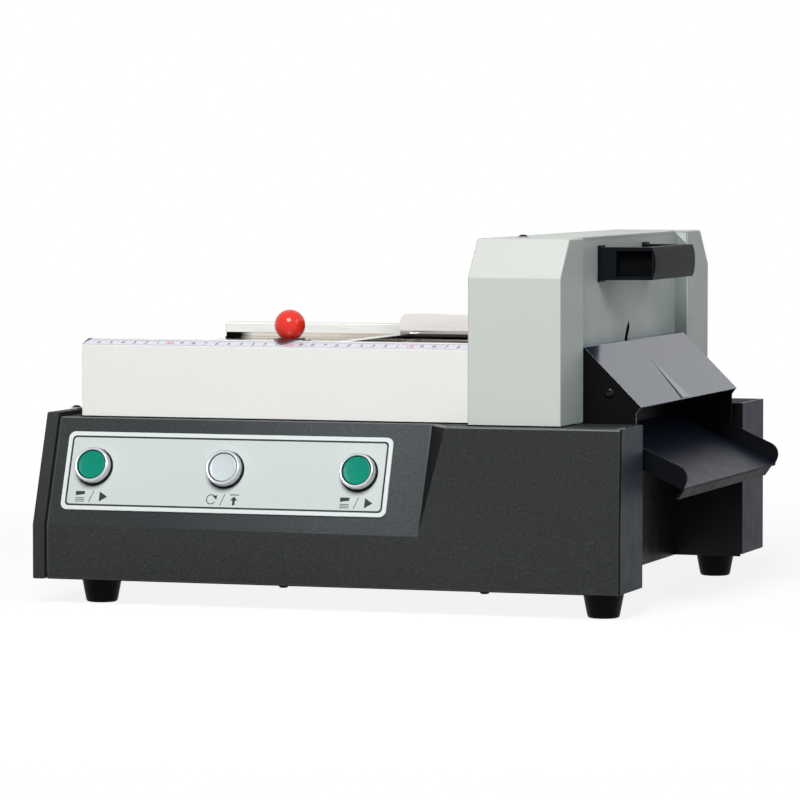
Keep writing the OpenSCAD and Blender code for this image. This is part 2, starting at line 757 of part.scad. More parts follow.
// Plate on the block, with a tapering tongue bent down along the ruler
pointer_bend = table_front + rail_d - ruler_flat;
pointer_drop = pointer_reach * ruler_rise / (rail_d - ruler_flat);
pointer_tip_w = 3;
module pointer_plate() place() color(pointer_grey) translate([-gauge_x, 0, bed_z + block_h]) {
    difference() {
        block([-pointer_w / 2, pointer_bend, 0], [pointer_w / 2, guide_y + block_d / 2, pointer_t]);
        translate([0, guide_y, -1]) cylinder(d = stud_d + 2 * run_gap, h = pointer_t + 2);
    }
    intersection() {
        along_x(-pointer_w / 2, pointer_w / 2) polygon([
            [pointer_bend + EPS, 0], [pointer_bend + EPS, pointer_t], [pointer_bend, pointer_t],
            [pointer_bend - pointer_reach, pointer_t - pointer_drop],
            [pointer_bend - pointer_reach, -pointer_drop], [pointer_bend, 0]]);
        translate([0, 0, -2 * pointer_drop]) linear_extrude(4 * pointer_drop) polygon([
            [-pointer_w / 2, pointer_bend + 1], [-pointer_w / 2, pointer_bend],
            [-pointer_tip_w / 2, pointer_bend - pointer_reach],
            [pointer_tip_w / 2, pointer_bend - pointer_reach],
            [pointer_w / 2, pointer_bend], [pointer_w / 2, pointer_bend + 1]]);
    }
}

// Axis of the shoe's curl along X, from a bar's width left of the gauge bar
module curl_place() translate([-gauge_x - bar_w, shoe_front + shoe_roll, bed_z + shoe_lift + shoe_roll])
    rotate([0, 90, 0]) children();

// Upright plate with a round corner, its lower edge curled back under it
shoe_left = gauge_x + 2.4;
curl_z = bed_z + shoe_lift + shoe_roll;
module gauge_shoe() place() color(bright) {
    along_y(shoe_front, shoe_y) polygon(concat(
        [[-shoe_left, curl_z - EPS], [-shoe_left + shoe_l, curl_z - EPS],
            [-shoe_left + shoe_l, bed_z + shoe_h]],
        arc([-shoe_left + shoe_corner, bed_z + shoe_h - shoe_corner], shoe_corner, 90, 180)));
    translate([-shoe_left, shoe_front + shoe_roll, curl_z]) rotate([0, 90, 0]) intersection() {
        ring(2 * shoe_roll, 2 * (shoe_roll - shoe_t), shoe_l);
        translate([0, -shoe_roll - 1, -1]) cube([shoe_roll + 1, shoe_roll + 1, shoe_l + 2]);
    }
}

ball_base_z = bed_z + block_h + pointer_t + 0.3;
ball_z = ball_base_z + sqrt(ball_d * ball_d - ball_seat_d * ball_seat_d) / 2;
module ball_knob() place() color([0.86, 0.12, 0.10]) translate([-gauge_x, guide_y, 0]) {
    intersection() {
        translate([0, 0, ball_z]) sphere(d = ball_d);
        translate([0, 0, ball_base_z]) cylinder(d = 2 * ball_d, h = 2 * ball_d);
    }
    translate([0, 0, bed_z + guide_h + 2 * FIT]) cylinder(d = stud_d, h = ball_z - bed_z - guide_h);
}

module bed_beam() place() color(steel) along_y(bed_front, bed_rear) polygon([
    [-beam_left, base_top], [wall_x, base_top], [wall_x, base_top + nose_z],
    [beam_right, bed_z - stick_h], [beam_right, bed_z - 2 * bed_t],
    [stick_w - stick_left, bed_z - 2 * bed_t], [stick_w - stick_left, bed_z - stick_h],
    [-stick_left, bed_z - stick_h],
    [-stick_left, bed_z - bed_t], [-beam_left, bed_z - bed_t]]);

module cutting_stick() place() color(off_white) block([-stick_left, bed_front, bed_z - stick_h],
    [stick_w - stick_left, bed_rear, bed_z]);

// Side outline of a cheek, drawn in by a wall, with its slant towards the front
function cheek_outline(y0, y1, slant, w) = let (lean = atan(slant / head_slope_h), low = w > 0 ? 1 : 0) [
    [y0 + w, base_top - low],
    [y0 + w, head_fold_z - w * tan(lean / 2)],
    [y0 + slant + w * tan((90 - lean) / 2), head_top - w],
    [y1 + low, head_top - w],
    [y1 + low, base_top - low]];

// One cheek of the head, facing forward, with its cavity and the return beside the side panel
module cheek(y0, y1, slant) difference() {
    along_x(-head_left, head_right) polygon(cheek_outline(y0, y1, slant, 0));
    along_x(-head_left + head_wall, side_panel_x - head_wall)
        polygon(cheek_outline(y0, y1, slant, head_wall));
    along_x(-head_left + head_wall, head_right - head_wall)
        polygon(cheek_outline(y0, y1 - head_wall - 1, slant, head_wall));
}

module head_front_cover() place() color(light_grey) cheek(head_front, cheek_front, head_slant);

module head_rear_cover() place() color(light_grey) translate([0, head_rear, 0]) mirror([0, 1, 0])
    cheek(0, rear_cheek_d, rear_slant);

module head_top_cover() place() color(light_grey) {
    block([-head_left, cheek_front, head_top - head_wall], [side_panel_x, cheek_rear, head_top]);
    block([-head_left, cheek_front, window_z],
        [-head_left + head_wall, cheek_rear, head_top - head_wall + EPS]);
}

notch_bend = 0.78;
notch_waist = 0.66;
module head_side_panel() place() color(light_grey) difference() {
    block([side_panel_x - head_wall, cheek_front, side_panel_z],
        [side_panel_x, cheek_rear, head_top - head_wall]);
    along_x(side_panel_x - head_wall - 1, side_panel_x + 1) polygon([
        [notch_y - notch_w / 2, side_panel_z - 1], [notch_y + notch_w / 2, side_panel_z - 1],
        [notch_y + notch_w / 2 + notch_bend * notch_lean, side_panel_z + notch_waist * notch_h],
        [notch_y + notch_lean, side_panel_z + notch_h],
        [notch_y - notch_w / 2 + notch_bend * notch_lean, side_panel_z + notch_waist * notch_h]]);
    handle_screw_places() rotate([0, 90, 0]) translate([0, 0, -head_wall]) screw_hole(head_wall);
}

// Dome-headed screws on the head and on the end cap
dome_d = 9;
dome_h = 3;
dome_ball_r = (dome_h * dome_h + dome_d * dome_d / 4) / (2 * dome_h);
head_screw_x = 12;
head_screw_y = 54;
cap_screw_y = 80;
module dome() intersection() {
    translate([0, 0, dome_h - dome_ball_r]) sphere(r = dome_ball_r);
    cylinder(d = 2 * dome_d, h = 2 * dome_h);
}
module cover_screws() place() color(black) {
    translate([-head_screw_x, head_screw_y, head_top]) dome();
    translate([cap_left_x + cap_t / 2, cap_screw_y, base_top + cap_top_proud]) dome();
}

// Bridge handle: two flanges on the panel, two slanted legs and a crowned grip
handle_x = side_panel_x;
handle_out = handle_x + handle_reach;
handle_rear = handle_front + handle_l;
leg_inset = 1;
opening_lean = 8;
crown_r = 32.5;
pocket_start = 14;
pocket_wall = 2.8;
module handle_outline() hull() {
    translate([handle_x, handle_front + leg_inset]) square([EPS, handle_l - 2 * leg_inset]);
    for (y = [handle_front + leg_lean + handle_corner, handle_rear - far_lean - handle_corner])
        translate([handle_out - handle_corner, y]) circle(handle_corner, $fn = 32);
}

// Plan of the finger opening, wider at the panel than at the grip
module handle_opening() polygon([
    [handle_x - 1, handle_front + leg_w], [handle_out - grip_t, handle_front + leg_w + opening_lean],
    [handle_out - grip_t, handle_rear - leg_w - opening_lean], [handle_x - 1, handle_rear - leg_w]]);

// Hollow in the near leg, as deep everywhere along the leg's slanted face
function leg_y(x) = handle_front + leg_inset + (leg_lean - leg_inset) * (x - handle_x) / handle_reach;
module leg_pocket() translate([0, 0, handle_z]) linear_extrude(handle_h - 2 * pocket_wall, center = true)
    let (x0 = handle_x + pocket_start, x1 = handle_out - pocket_wall) polygon([
        [x0, leg_y(x0) - leg_lean], [x1, leg_y(x1) - leg_lean],
        [x1, leg_y(x1) + leg_pocket_d], [x0, leg_y(x0) + leg_pocket_d]]);

module carry_handle() place() color(black) difference() {
    union() {
        for (y = [handle_front, handle_rear - leg_w])
            block([handle_x, y, handle_z - handle_flange_h / 2],
                [handle_x + handle_flange_t, y + leg_w, handle_z + handle_flange_h / 2]);
        intersection() {
            translate([0, 0, handle_z]) linear_extrude(handle_h, center = true) difference() {
                handle_outline();
                handle_opening();
            }
            translate([handle_out - crown_r, handle_front, handle_z]) rotate([-90, 0, 0])
                cylinder(r = crown_r, h = handle_l, $fn = 128);
        }
    }
    leg_pocket();
    handle_screw_places() rotate([0, 90, 0]) translate([0, 0, -1])
        cylinder(d = screw_shank_d + 2 * FIT, h = screw_depth + 1);
}

// Screws through the side panel into the legs
screw_depth = 8;
leg_screw = 10;
module handle_screw_places() for (y = [handle_front + leg_screw, handle_rear - leg_screw])
    translate([side_panel_x, y, handle_z]) children();

module handle_screws() place() color(steel) handle_screw_places() translate([-head_wall, 0, 0])
    rotate([0, -90, 0]) screw(head_wall + screw_depth - 1);

// Steel side frame at one end of the head
module side_frame(y) block([-frame_left, y, base_top], [frame_right, y + frame_t, beam_z]);

module front_side_frame() place() color(steel) side_frame(head_mid - frame_off - frame_t);

module rear_side_frame() place() color(steel) side_frame(head_mid + frame_off);

module top_beam() place() color(steel) difference() {
    block([-frame_left, head_mid - frame_off - beam_inset, beam_z],
        [frame_right, head_mid + frame_off + beam_inset, beam_z + beam_t]);
    at_ends(screw_off) translate([screw_x, 0, beam_z]) run_bore(screw_d, beam_t);
}

module guide_columns() place() color(bright) {
    at_ends(column_off) translate([screw_x, 0, base_top]) cylinder(d = column_d, h = beam_z - base_top);
    at_ends(clamp_column_off) translate([-clamp_column_x, 0, base_top])
        cylinder(d = clamp_column_d, h = beam_z - base_top);
}

module screw_bearings() place() color(steel) at_ends(screw_off) translate([screw_x, 0, floor_top])
    ring(bearing_d, screw_d + 2 * run_gap, bearing_h);

// Carrier bar with an end block on each column and a lug over each clamp spring
module carrier_end(s) {
    y0 = head_mid + s * (head_half + end_l / 2) - end_l / 2;
    block([-end_left, y0, carrier_z], [end_right, y0 + end_l, carrier_top]);
    block([-clamp_column_x - clamp_column_d, y0 + end_l / 4, carrier_top - lug_t],
        [-end_left + EPS, y0 + end_l * 3 / 4, carrier_top]);
}
module blade_carrier() place() color([0.35, 0.38, 0.42]) difference() {
    union() {
        block([carrier_x, cheek_front - EPS, carrier_z],
            [carrier_x + carrier_t, cheek_rear + EPS, carrier_top]);
        for (s = [-1, 1]) carrier_end(s);
    }
    at_ends(column_off) translate([screw_x, 0, carrier_z]) run_bore(column_d, carrier_h);
    at_ends(screw_off) translate([screw_x, 0, carrier_z]) run_bore(screw_d, carrier_h);
    at_ends(clamp_column_off) translate([-clamp_column_x, 0, carrier_z])
        run_bore(clamp_column_d, carrier_h);
    blade_bolt_places() translate([0, 0, -screw_depth - 1])
        cylinder(d = screw_shank_d + 2 * FIT, h = screw_depth + 2);
}

module drive_nuts() place() color(brass) at_ends(screw_off) translate([screw_x, 0, carrier_z - nut_h])
    ring(nut_d, screw_d + 2 * run_gap, nut_h);

blade_end_gap = 2;
module blade() place() color(bright) difference() {
    along_y(cheek_front + blade_end_gap, cheek_rear - blade_end_gap) polygon([
        [-blade_t / 2, edge_z + blade_h], [-blade_t / 2, edge_z],
        [blade_t / 2, edge_z + blade_bevel], [blade_t / 2, edge_z + blade_h]]);
    blade_bolt_places() screw_hole(blade_t);
}

// Bolts through the blade into the carrier, at its left face, pointing to the left
bolt_count = 5;
bolt_drop = 10;
bolt_z = edge_z + blade_h - bolt_drop;
bolt_end = 24;
bolt_head_h = 2.4;
bolt_pitch = 2 * (head_half - bolt_end) / (bolt_count - 1);
module blade_bolt_places() for (i = [0:bolt_count - 1])
    translate([carrier_x, cheek_front + bolt_end + i * bolt_pitch, bolt_z]) rotate([0, -90, 0]) children();
module blade_bolts() place() color(black) blade_bolt_places() {
    translate([0, 0, blade_t]) cylinder(d = screw_head_d, h = bolt_head_h);
    translate([0, 0, -screw_depth + 1]) cylinder(d = screw_shank_d, h = screw_depth - 1 + blade_t + EPS);
}

module clamp_bar() place() color([0.55, 0.57, 0.6]) difference() {
    union() {
        block([-clamp_right - clamp_t, cheek_front - EPS, clamp_z],
            [-clamp_right, cheek_rear + EPS, clamp_z + clamp_h]);
        for (s = [-1, 1]) {
            y0 = head_mid + s * (head_half + end_l / 2) - end_l / 2;
            block([-clamp_column_x - clamp_end_w / 2, y0, clamp_end_z],
                [-clamp_column_x + clamp_end_w / 2, y0 + end_l, clamp_end_z + clamp_end_h]);
        }
    }
    at_ends(clamp_column_off) translate([-clamp_column_x, 0, clamp_end_z])
        run_bore(clamp_column_d, clamp_end_h);
}

// Coil springs between the clamp's ends and the carrier's lugs
spring_wire = 1.4;
spring_turns = 4;
spring_seat_gap = 0.2;
spring_z = clamp_end_z + clamp_end_h + spring_seat_gap + spring_wire / 2;
spring_r = clamp_column_d / 2 + spring_wire / 2 + 0.6;
spring_l = carrier_top - lug_t - clamp_end_z - clamp_end_h - 2 * spring_seat_gap - spring_wire;
curl_rings = 10;
wire_sides = 6;

// One unbroken helix of round wire, its rings joined by flat faces
module helix(r, wire, turns, rise) {
    rings = turns * curl_rings;
    points = [for (i = [0:rings], j = [0:wire_sides - 1])
        let (a = 360 * i / curl_rings, b = 360 * j / wire_sides, reach = r + wire / 2 * cos(b))
        [reach * cos(a), reach * sin(a), rise * i / rings + wire / 2 * sin(b)]];
    sides = [for (i = [0:rings - 1], j = [0:wire_sides - 1], k = [0, 1]) let (n = (j + 1) % wire_sides,
        a = i * wire_sides + j, b = i * wire_sides + n, c = a + wire_sides, d = b + wire_sides)
        k == 0 ? [a, b, d] : [a, d, c]];
    ends = [[for (j = [wire_sides - 1:-1:0]) j], [for (j = [0:wire_sides - 1]) rings * wire_sides + j]];
    polyhedron(points = points, faces = concat(sides, ends));
}
module clamp_springs() place() color(steel) at_ends(clamp_column_off)
    translate([-clamp_column_x, 0, spring_z]) helix(spring_r, spring_wire, spring_turns, spring_l);

// Belt pulley with two flanges on a shaft
module pulley(bore) difference() {
    union() {
        cylinder(d = pulley_flange_d, h = flange_h);
        cylinder(d = pulley_d, h = pulley_h);
        translate([0, 0, pulley_h - flange_h]) cylinder(d = pulley_flange_d, h = flange_h);
    }
    translate([0, 0, -1]) cylinder(d = bore, h = pulley_h + 2);
}

// Lead screw with its pulley
module lead_screw(s) translate([screw_x, head_mid + s * screw_off, 0]) {
    translate([0, 0, floor_top + screw_end_gap])
        cylinder(d = screw_d, h = beam_z + beam_t - screw_end_gap - floor_top - screw_end_gap);
    translate([0, 0, pulley_z]) pulley(screw_d + 2 * run_gap);
}

module lead_screw_front() place() color(bright) lead_screw(-1);

module lead_screw_rear() place() color(bright) lead_screw(1);

shaft_low = 3;
shaft_in = 5;
shaft_top = bracket_z + bracket_t + shaft_in - screw_end_gap;
shaft_end = pulley_z - shaft_low;
module motor_pulley() place() color(bright) translate([-motor_x, head_mid, 0]) {
    translate([0, 0, pulley_z]) pulley(motor_shaft_d + 2 * run_gap);
    translate([0, 0, shaft_end]) cylinder(d = motor_shaft_d, h = shaft_top - shaft_end);
}

gearbox_z = bracket_z + bracket_t;
module gear_motor() place() color(motor_grey) translate([-motor_x, head_mid, gearbox_z]) difference() {
    union() {
        translate([-gearbox_w / 2, -gearbox_w / 2, 0]) cube([gearbox_w, gearbox_w, gearbox_h]);
        translate([0, 0, gearbox_h - EPS]) cylinder(d = motor_d, h = motor_l);
    }
    translate([0, 0, -1]) cylinder(d = motor_shaft_d + 2 * run_gap, h = shaft_in + 1);
}

module motor_bracket() place() color(steel) translate([-motor_x, head_mid, 0]) {
    difference() {
        translate([-bracket_w / 2, -bracket_w / 2, bracket_z]) cube([bracket_w, bracket_w, bracket_t]);
        translate([0, 0, bracket_z - 1]) cylinder(d = motor_shaft_d + 1, h = bracket_t + 2);
    }
    for (x = [-1, 1], y = [-1, 1]) translate([x * post_off, y * post_off, floor_top])
        cylinder(d = post_d, h = bracket_z - floor_top + EPS);
}

// Loop of the belt round its three pulleys, at a radius
module belt_loop(r) hull() {
    at_ends(screw_off) translate([screw_x, 0]) circle(r);
    translate([-motor_x, head_mid]) circle(r);
}
module drive_belt() place() color(black) translate([0, 0, pulley_z + flange_h + belt_room])
    linear_extrude(belt_w) difference() {
        belt_loop(pulley_d / 2 + belt_gap + belt_t);
        belt_loop(pulley_d / 2 + belt_gap);
    }

// Circuit board on four posts, with its tall parts
board_x = 300;
board_y = 290;
board_w = 120;
board_d = 90;
board_t = 1.6;
post_h = 8;
board_post_d = 8;
board_edge = 20;
relay_size = [20, 16, 18];
relay_pitch = 28;
can_d = 13;
can_h = 22;
can_pitch = 22;
can_y = 64;
module control_board() place() color([0.1, 0.4, 0.2]) translate([-board_x, board_y, floor_top]) {
    for (x = [board_post_d, board_w - board_post_d], y = [board_post_d, board_d - board_post_d])
        translate([x, y, 0]) cylinder(d = board_post_d, h = post_h + EPS);
    translate([0, 0, post_h]) cube([board_w, board_d, board_t]);
    for (i = [0:2]) translate([board_edge + i * relay_pitch, board_edge, post_h + board_t - EPS])
        cube(relay_size);
    for (i = [0:3]) translate([board_edge + i * can_pitch, can_y, post_h + board_t - EPS])
        cylinder(d = can_d, h = can_h);
}

supply_x = 30;
supply_y = 150;
supply_size = [60, 110, 42];
module power_supply() place() color(steel) translate([-base_left + supply_x, supply_y, floor_top])
    cube(supply_size);

inlet_flange = 3;
inlet_depth = 24;
inlet_hole = 15;
inlet_wall = 2;
pin_rise = 2;
pin_w = 2;
pin_h = 4;
pin_l = 12;
pin_off = 7;
module power_inlet() place() color(black) translate([-inlet_x, base_depth, power_z]) {
    difference() {
        union() {
            block([-inlet_w / 2 - inlet_flange, 0, -inlet_h / 2 - inlet_flange],
                [inlet_w / 2 + inlet_flange, rear_proud, inlet_h / 2 + inlet_flange]);
            block([-inlet_w / 2 + FIT, -inlet_depth, -inlet_h / 2 + FIT],
                [inlet_w / 2 - FIT, EPS, inlet_h / 2 - FIT]);
        }
        block([-inlet_w / 2 + inlet_wall, rear_proud - inlet_hole, -inlet_h / 2 + inlet_wall],
            [inlet_w / 2 - inlet_wall, rear_proud + 1, inlet_h / 2 - inlet_wall]);
    }
    for (p = [[-pin_off, -pin_rise], [pin_off, -pin_rise], [0, pin_rise]])
        block([p[0] - pin_w / 2, rear_proud - inlet_hole - EPS, p[1] - pin_h / 2],
            [p[0] + pin_w / 2, rear_proud - inlet_hole + pin_l, p[1] + pin_h / 2]);
}

// Switch body with a rocker on a cross pin
rocker_w = 12;
rocker_h = 21;
rocker_room = 8;
rocker_swing = 0.8;
rocker_top = 3.6;
rocker_edge = 1;
rocker_dip = 0.6;
rocker_belly = 2.5;
rocker_pin_d = 3;
rocker_pin_l = 1.2;
rocker_y = -3;
switch_flange = 3;
switch_depth = 22;
module switch_frame() place() color(black) translate([-switch_x, base_depth, power_z]) difference() {
    union() {
        block([-switch_w / 2 - switch_flange, 0, -switch_h / 2 - switch_flange],
            [switch_w / 2 + switch_flange, rear_proud, switch_h / 2 + switch_flange]);
        block([-switch_w / 2 + FIT, -switch_depth, -switch_h / 2 + FIT],
            [switch_w / 2 - FIT, EPS, switch_h / 2 - FIT]);
    }
    block([-rocker_w / 2 - FIT, -rocker_room, -rocker_h / 2 - rocker_swing],
        [rocker_w / 2 + FIT, rear_proud + 1, rocker_h / 2 + rocker_swing]);
    translate([-rocker_w / 2 - rocker_pin_l - FIT, rocker_y, 0]) rotate([0, 90, 0])
        cylinder(d = rocker_pin_d + 2 * run_gap, h = rocker_w + 2 * (rocker_pin_l + FIT));
}
module power_rocker() place() color(black) translate([-switch_x, base_depth + rocker_y, power_z])
    rotate([-rocker_tilt, 0, 0]) {
        along_x(-rocker_w / 2, rocker_w / 2) polygon([
            [rocker_top - rocker_edge, -rocker_h / 2], [rocker_top, -rocker_h / 2 + rocker_edge],
            [rocker_top - rocker_dip, 0], [rocker_top, rocker_h / 2 - rocker_edge],
            [rocker_top - rocker_edge, rocker_h / 2], [-rocker_edge, rocker_h / 2 - rocker_edge],
            [-rocker_belly, 0], [-rocker_edge, -rocker_h / 2 + rocker_edge]]);
        translate([-rocker_w / 2 - rocker_pin_l, 0, 0]) rotate([0, 90, 0])
            cylinder(d = rocker_pin_d, h = rocker_w + 2 * rocker_pin_l);
    }

// Sloping hood over the outlet, with two sides and a flange on the side panel
slit_y = 204;
slit_turn = -20;
hood_k = sheet_t * tan(22.5);
module chute_hood() place() color(black) difference() {
    union() {
        along_y(hood_front, hood_rear) polygon([
            [side_panel_x, hood_z], [head_right, hood_z], [hood_lip_x, hood_lip_z],
            [hood_lip_x - sheet_t / sqrt(2), hood_lip_z - sheet_t / sqrt(2)],
            [head_right - hood_k, hood_z - sheet_t], [side_panel_x, hood_z - sheet_t]]);
        for (y = [hood_front, hood_rear - sheet_t]) along_y(y, y + sheet_t) polygon([
            [recess_x, hood_z - EPS], [head_right - EPS, hood_z - EPS],
            [hood_lip_x - sheet_t / sqrt(2), hood_lip_z - sheet_t / sqrt(2)],
            [hood_side_x, hood_lip_z - 5], [hood_side_x, hood_side_z], [recess_x, hood_side_z]]);
    }
    translate([hood_lip_x, slit_y, hood_lip_z]) rotate([0, 45, 0]) rotate([0, 0, slit_turn])
        block([-slit_l, -slit_w / 2, -5], [5, slit_w / 2, 5]);
    hood_screw_places() translate([0, 0, -sheet_t]) screw_hole(sheet_t);
}

// Screws through the hood's sides, their heads outside
hood_screw_out = [20.5, 9.5];
hood_screw_drop = 35;
hood_screw_lift = 8;
hood_screw_spots = [[head_right + hood_screw_out[0], hood_z - hood_screw_drop],
    [head_right + hood_screw_out[1], hood_side_z + hood_screw_lift]];
module hood_screw_places() for (p = hood_screw_spots) {
    translate([p[0], hood_front, p[1]]) rotate([90, 0, 0]) children();
    translate([p[0], hood_rear, p[1]]) rotate([-90, 0, 0]) children();
}
module hood_screws() place() color(bright) hood_screw_places() screw(sheet_t);

// Catch tray with rounded side walls and a lip folded under its end
tray_len = tray_run / cos(tray_slope);
tray_skin = sheet_t / cos(tray_slope);
module catch_tray() place() color(blue_grey) {
    along_y(tray_front, tray_rear) polygon([
        [recess_x, tray_z], [tray_fold, tray_fold_z],
        [tray_fold, tray_fold_z - tray_skin], [recess_x, tray_z - tray_skin]]);
    along_y(tray_front + lip_inset, tray_rear - lip_inset) translate([tray_fold, tray_fold_z]) polygon([
        [0, 0], [-tray_lip * sin(lip_lean), -tray_lip * cos(lip_lean)],
        [-tray_lip * sin(lip_lean) - sheet_t / cos(lip_lean), -tray_lip * cos(lip_lean)],
        [-sheet_t / cos(lip_lean), 0]]);
    for (y = [tray_front, tray_rear - sheet_t]) along_y(y, y + sheet_t) polygon(concat(
        [[recess_x, tray_z - EPS], [tray_fold, tray_fold_z - EPS]],
        [for (p = arc([tray_len - tray_corner, tray_wall_h - tray_corner], tray_corner, 0, 90))
            [recess_x + p[0] * cos(tray_slope) + p[1] * sin(tray_slope),
                tray_z - p[0] * sin(tray_slope) + p[1] * cos(tray_slope)]],
        [[recess_x, tray_z + tray_wall_h / cos(tray_slope)]]));
}

front_cover();
left_end_cap();
top_deck();
rear_cover();
bottom_plate();
right_front_flank();
recess_back_wall();
right_rear_flank();
rubber_feet();
foot_screws();
base_screws();
label_plate();
button_bezels();
contact_blocks();
cut_button_left();
reset_button();
cut_button_right();
feed_table();
bed_plate();
ruler_bar();
rear_fence();
guide_rail();
gauge_arm();
pointer_plate();
gauge_shoe();
ball_knob();
bed_beam();
cutting_stick();
head_front_cover();
head_rear_cover();
head_top_cover();
head_side_panel();
cover_screws();
carry_handle();
handle_screws();
front_side_frame();
rear_side_frame();
top_beam();
guide_columns();
screw_bearings();
blade_carrier();
drive_nuts();
blade();
blade_bolts();
clamp_bar();
clamp_springs();
lead_screw_front();
lead_screw_rear();
motor_pulley();
gear_motor();
motor_bracket();
drive_belt();
control_board();
power_supply();
power_inlet();
switch_frame();
power_rocker();
chute_hood();
hood_screws();
catch_tray();
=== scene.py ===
import json
import math
from contextlib import contextmanager

import bmesh
import bpy
from mathutils import Matrix, Vector


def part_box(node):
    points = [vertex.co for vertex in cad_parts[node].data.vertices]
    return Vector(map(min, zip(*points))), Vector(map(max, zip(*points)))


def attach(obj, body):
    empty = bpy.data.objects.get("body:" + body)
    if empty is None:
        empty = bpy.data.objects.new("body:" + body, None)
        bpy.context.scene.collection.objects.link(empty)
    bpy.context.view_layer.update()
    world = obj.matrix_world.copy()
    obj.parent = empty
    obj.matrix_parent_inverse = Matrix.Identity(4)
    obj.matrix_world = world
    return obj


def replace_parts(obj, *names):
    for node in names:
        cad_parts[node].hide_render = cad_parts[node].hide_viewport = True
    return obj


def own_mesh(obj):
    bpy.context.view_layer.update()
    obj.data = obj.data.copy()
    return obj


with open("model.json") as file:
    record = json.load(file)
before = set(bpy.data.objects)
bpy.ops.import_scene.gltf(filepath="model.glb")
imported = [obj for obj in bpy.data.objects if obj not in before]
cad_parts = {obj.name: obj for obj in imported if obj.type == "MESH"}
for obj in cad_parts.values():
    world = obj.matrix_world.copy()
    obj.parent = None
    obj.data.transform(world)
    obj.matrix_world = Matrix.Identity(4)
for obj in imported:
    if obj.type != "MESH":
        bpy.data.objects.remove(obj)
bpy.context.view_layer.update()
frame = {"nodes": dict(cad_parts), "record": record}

SLOT_OF = {part["node"]: part["material_slot"] for part in frame["record"]["subparts"]}
BODY_OF = {n: b for b, members in frame["record"]["behaviour"]["bodies"].items() for n in members}

# Plan of the part in millimetres: X from the cut line, Y from the front of the base, Z from the floor
MID_X = -144.0
MID_Y = 230.5


def at(x, y, z):
    """A point of the plan as a place in the frame, in metres."""
    return Vector(((x - MID_X) / 1000, (y - MID_Y) / 1000, z / 1000))


def plan(place):
    """A place in the frame as a point of the plan, in millimetres."""
    return place * 1000 + Vector((MID_X, MID_Y, 0))


def corners(node):
    """Lowest and highest corner of a CAD node in the plan, to a thousandth of a millimetre."""
    return [Vector([round(value, 3) for value in plan(corner)]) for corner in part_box(node)]


# Boxes of the pieces that finishes and trim follow
COVER_LOW, COVER_HIGH = corners("front_cover")
FLANK_LOW, FLANK_HIGH = corners("right_front_flank")
TABLE_LOW, TABLE_HIGH = corners("feed_table")
RULER_LOW, RULER_HIGH = corners("ruler_bar")
CHEEK_LOW, CHEEK_HIGH = corners("head_front_cover")
SIDE_LOW, SIDE_HIGH = corners("head_side_panel")
HOOD_LOW, HOOD_HIGH = corners("chute_hood")
TRAY_LOW, TRAY_HIGH = corners("catch_tray")
HANDLE_LOW, HANDLE_HIGH = corners("carry_handle")
REAR_CHEEK_Y = corners("head_rear_cover")[0].y
FENCE_Z = corners("rear_fence")[0].z

# Lines of the base, the head and the outlet that no box gives, in millimetres
CREASE_Z = 63.0
PANEL_SETBACK = 30.5
BLOCK_LEAN = 4.0
STEP_FOOT_X = -80.0
STEP_TOP_X = (-78.5, -59.5)
FLANK_T = 2.0
SHEET_T = 1.5
GROOVE_H = 5.0
CURL_Z = 206.0
CURL_SHADE_Z = 203.6
NOTCH_Y = (227.0, 257.0)
NOTCH_TOP_Z = 223.0
LEG_LEAN = 12.0
HOOD_LIP_Z = 160.0
SLIT_Y = 204.0

# Slack for a face or edge that lies on one of these lines
NEAR = 0.3
PANEL_TILT = math.atan2(PANEL_SETBACK, COVER_HIGH.z - CREASE_Z)
SHARP = math.radians(32)


def on_panel(x, s):
    """Frame on the slanted panel: X along it, Y up the slant from the crease, Z out of it."""
    tilt = Matrix.Rotation(math.pi / 2 - PANEL_TILT, 4, "X")
    return Matrix.Translation(at(x, 0, CREASE_Z)) @ tilt @ Matrix.Translation((0, s / 1000, 0))


def upright(x, y, z):
    """Frame with its Z straight up."""
    return Matrix.Translation(at(x, y, z))


# Materials


def linear(*rgb):
    """A screen colour, 0 to 255, as the linear colour that a shader takes."""
    parts = [c / 255 for c in rgb]
    return (*(c / 12.92 if c <= 0.04045 else ((c + 0.055) / 1.055) ** 2.4 for c in parts), 1.0)


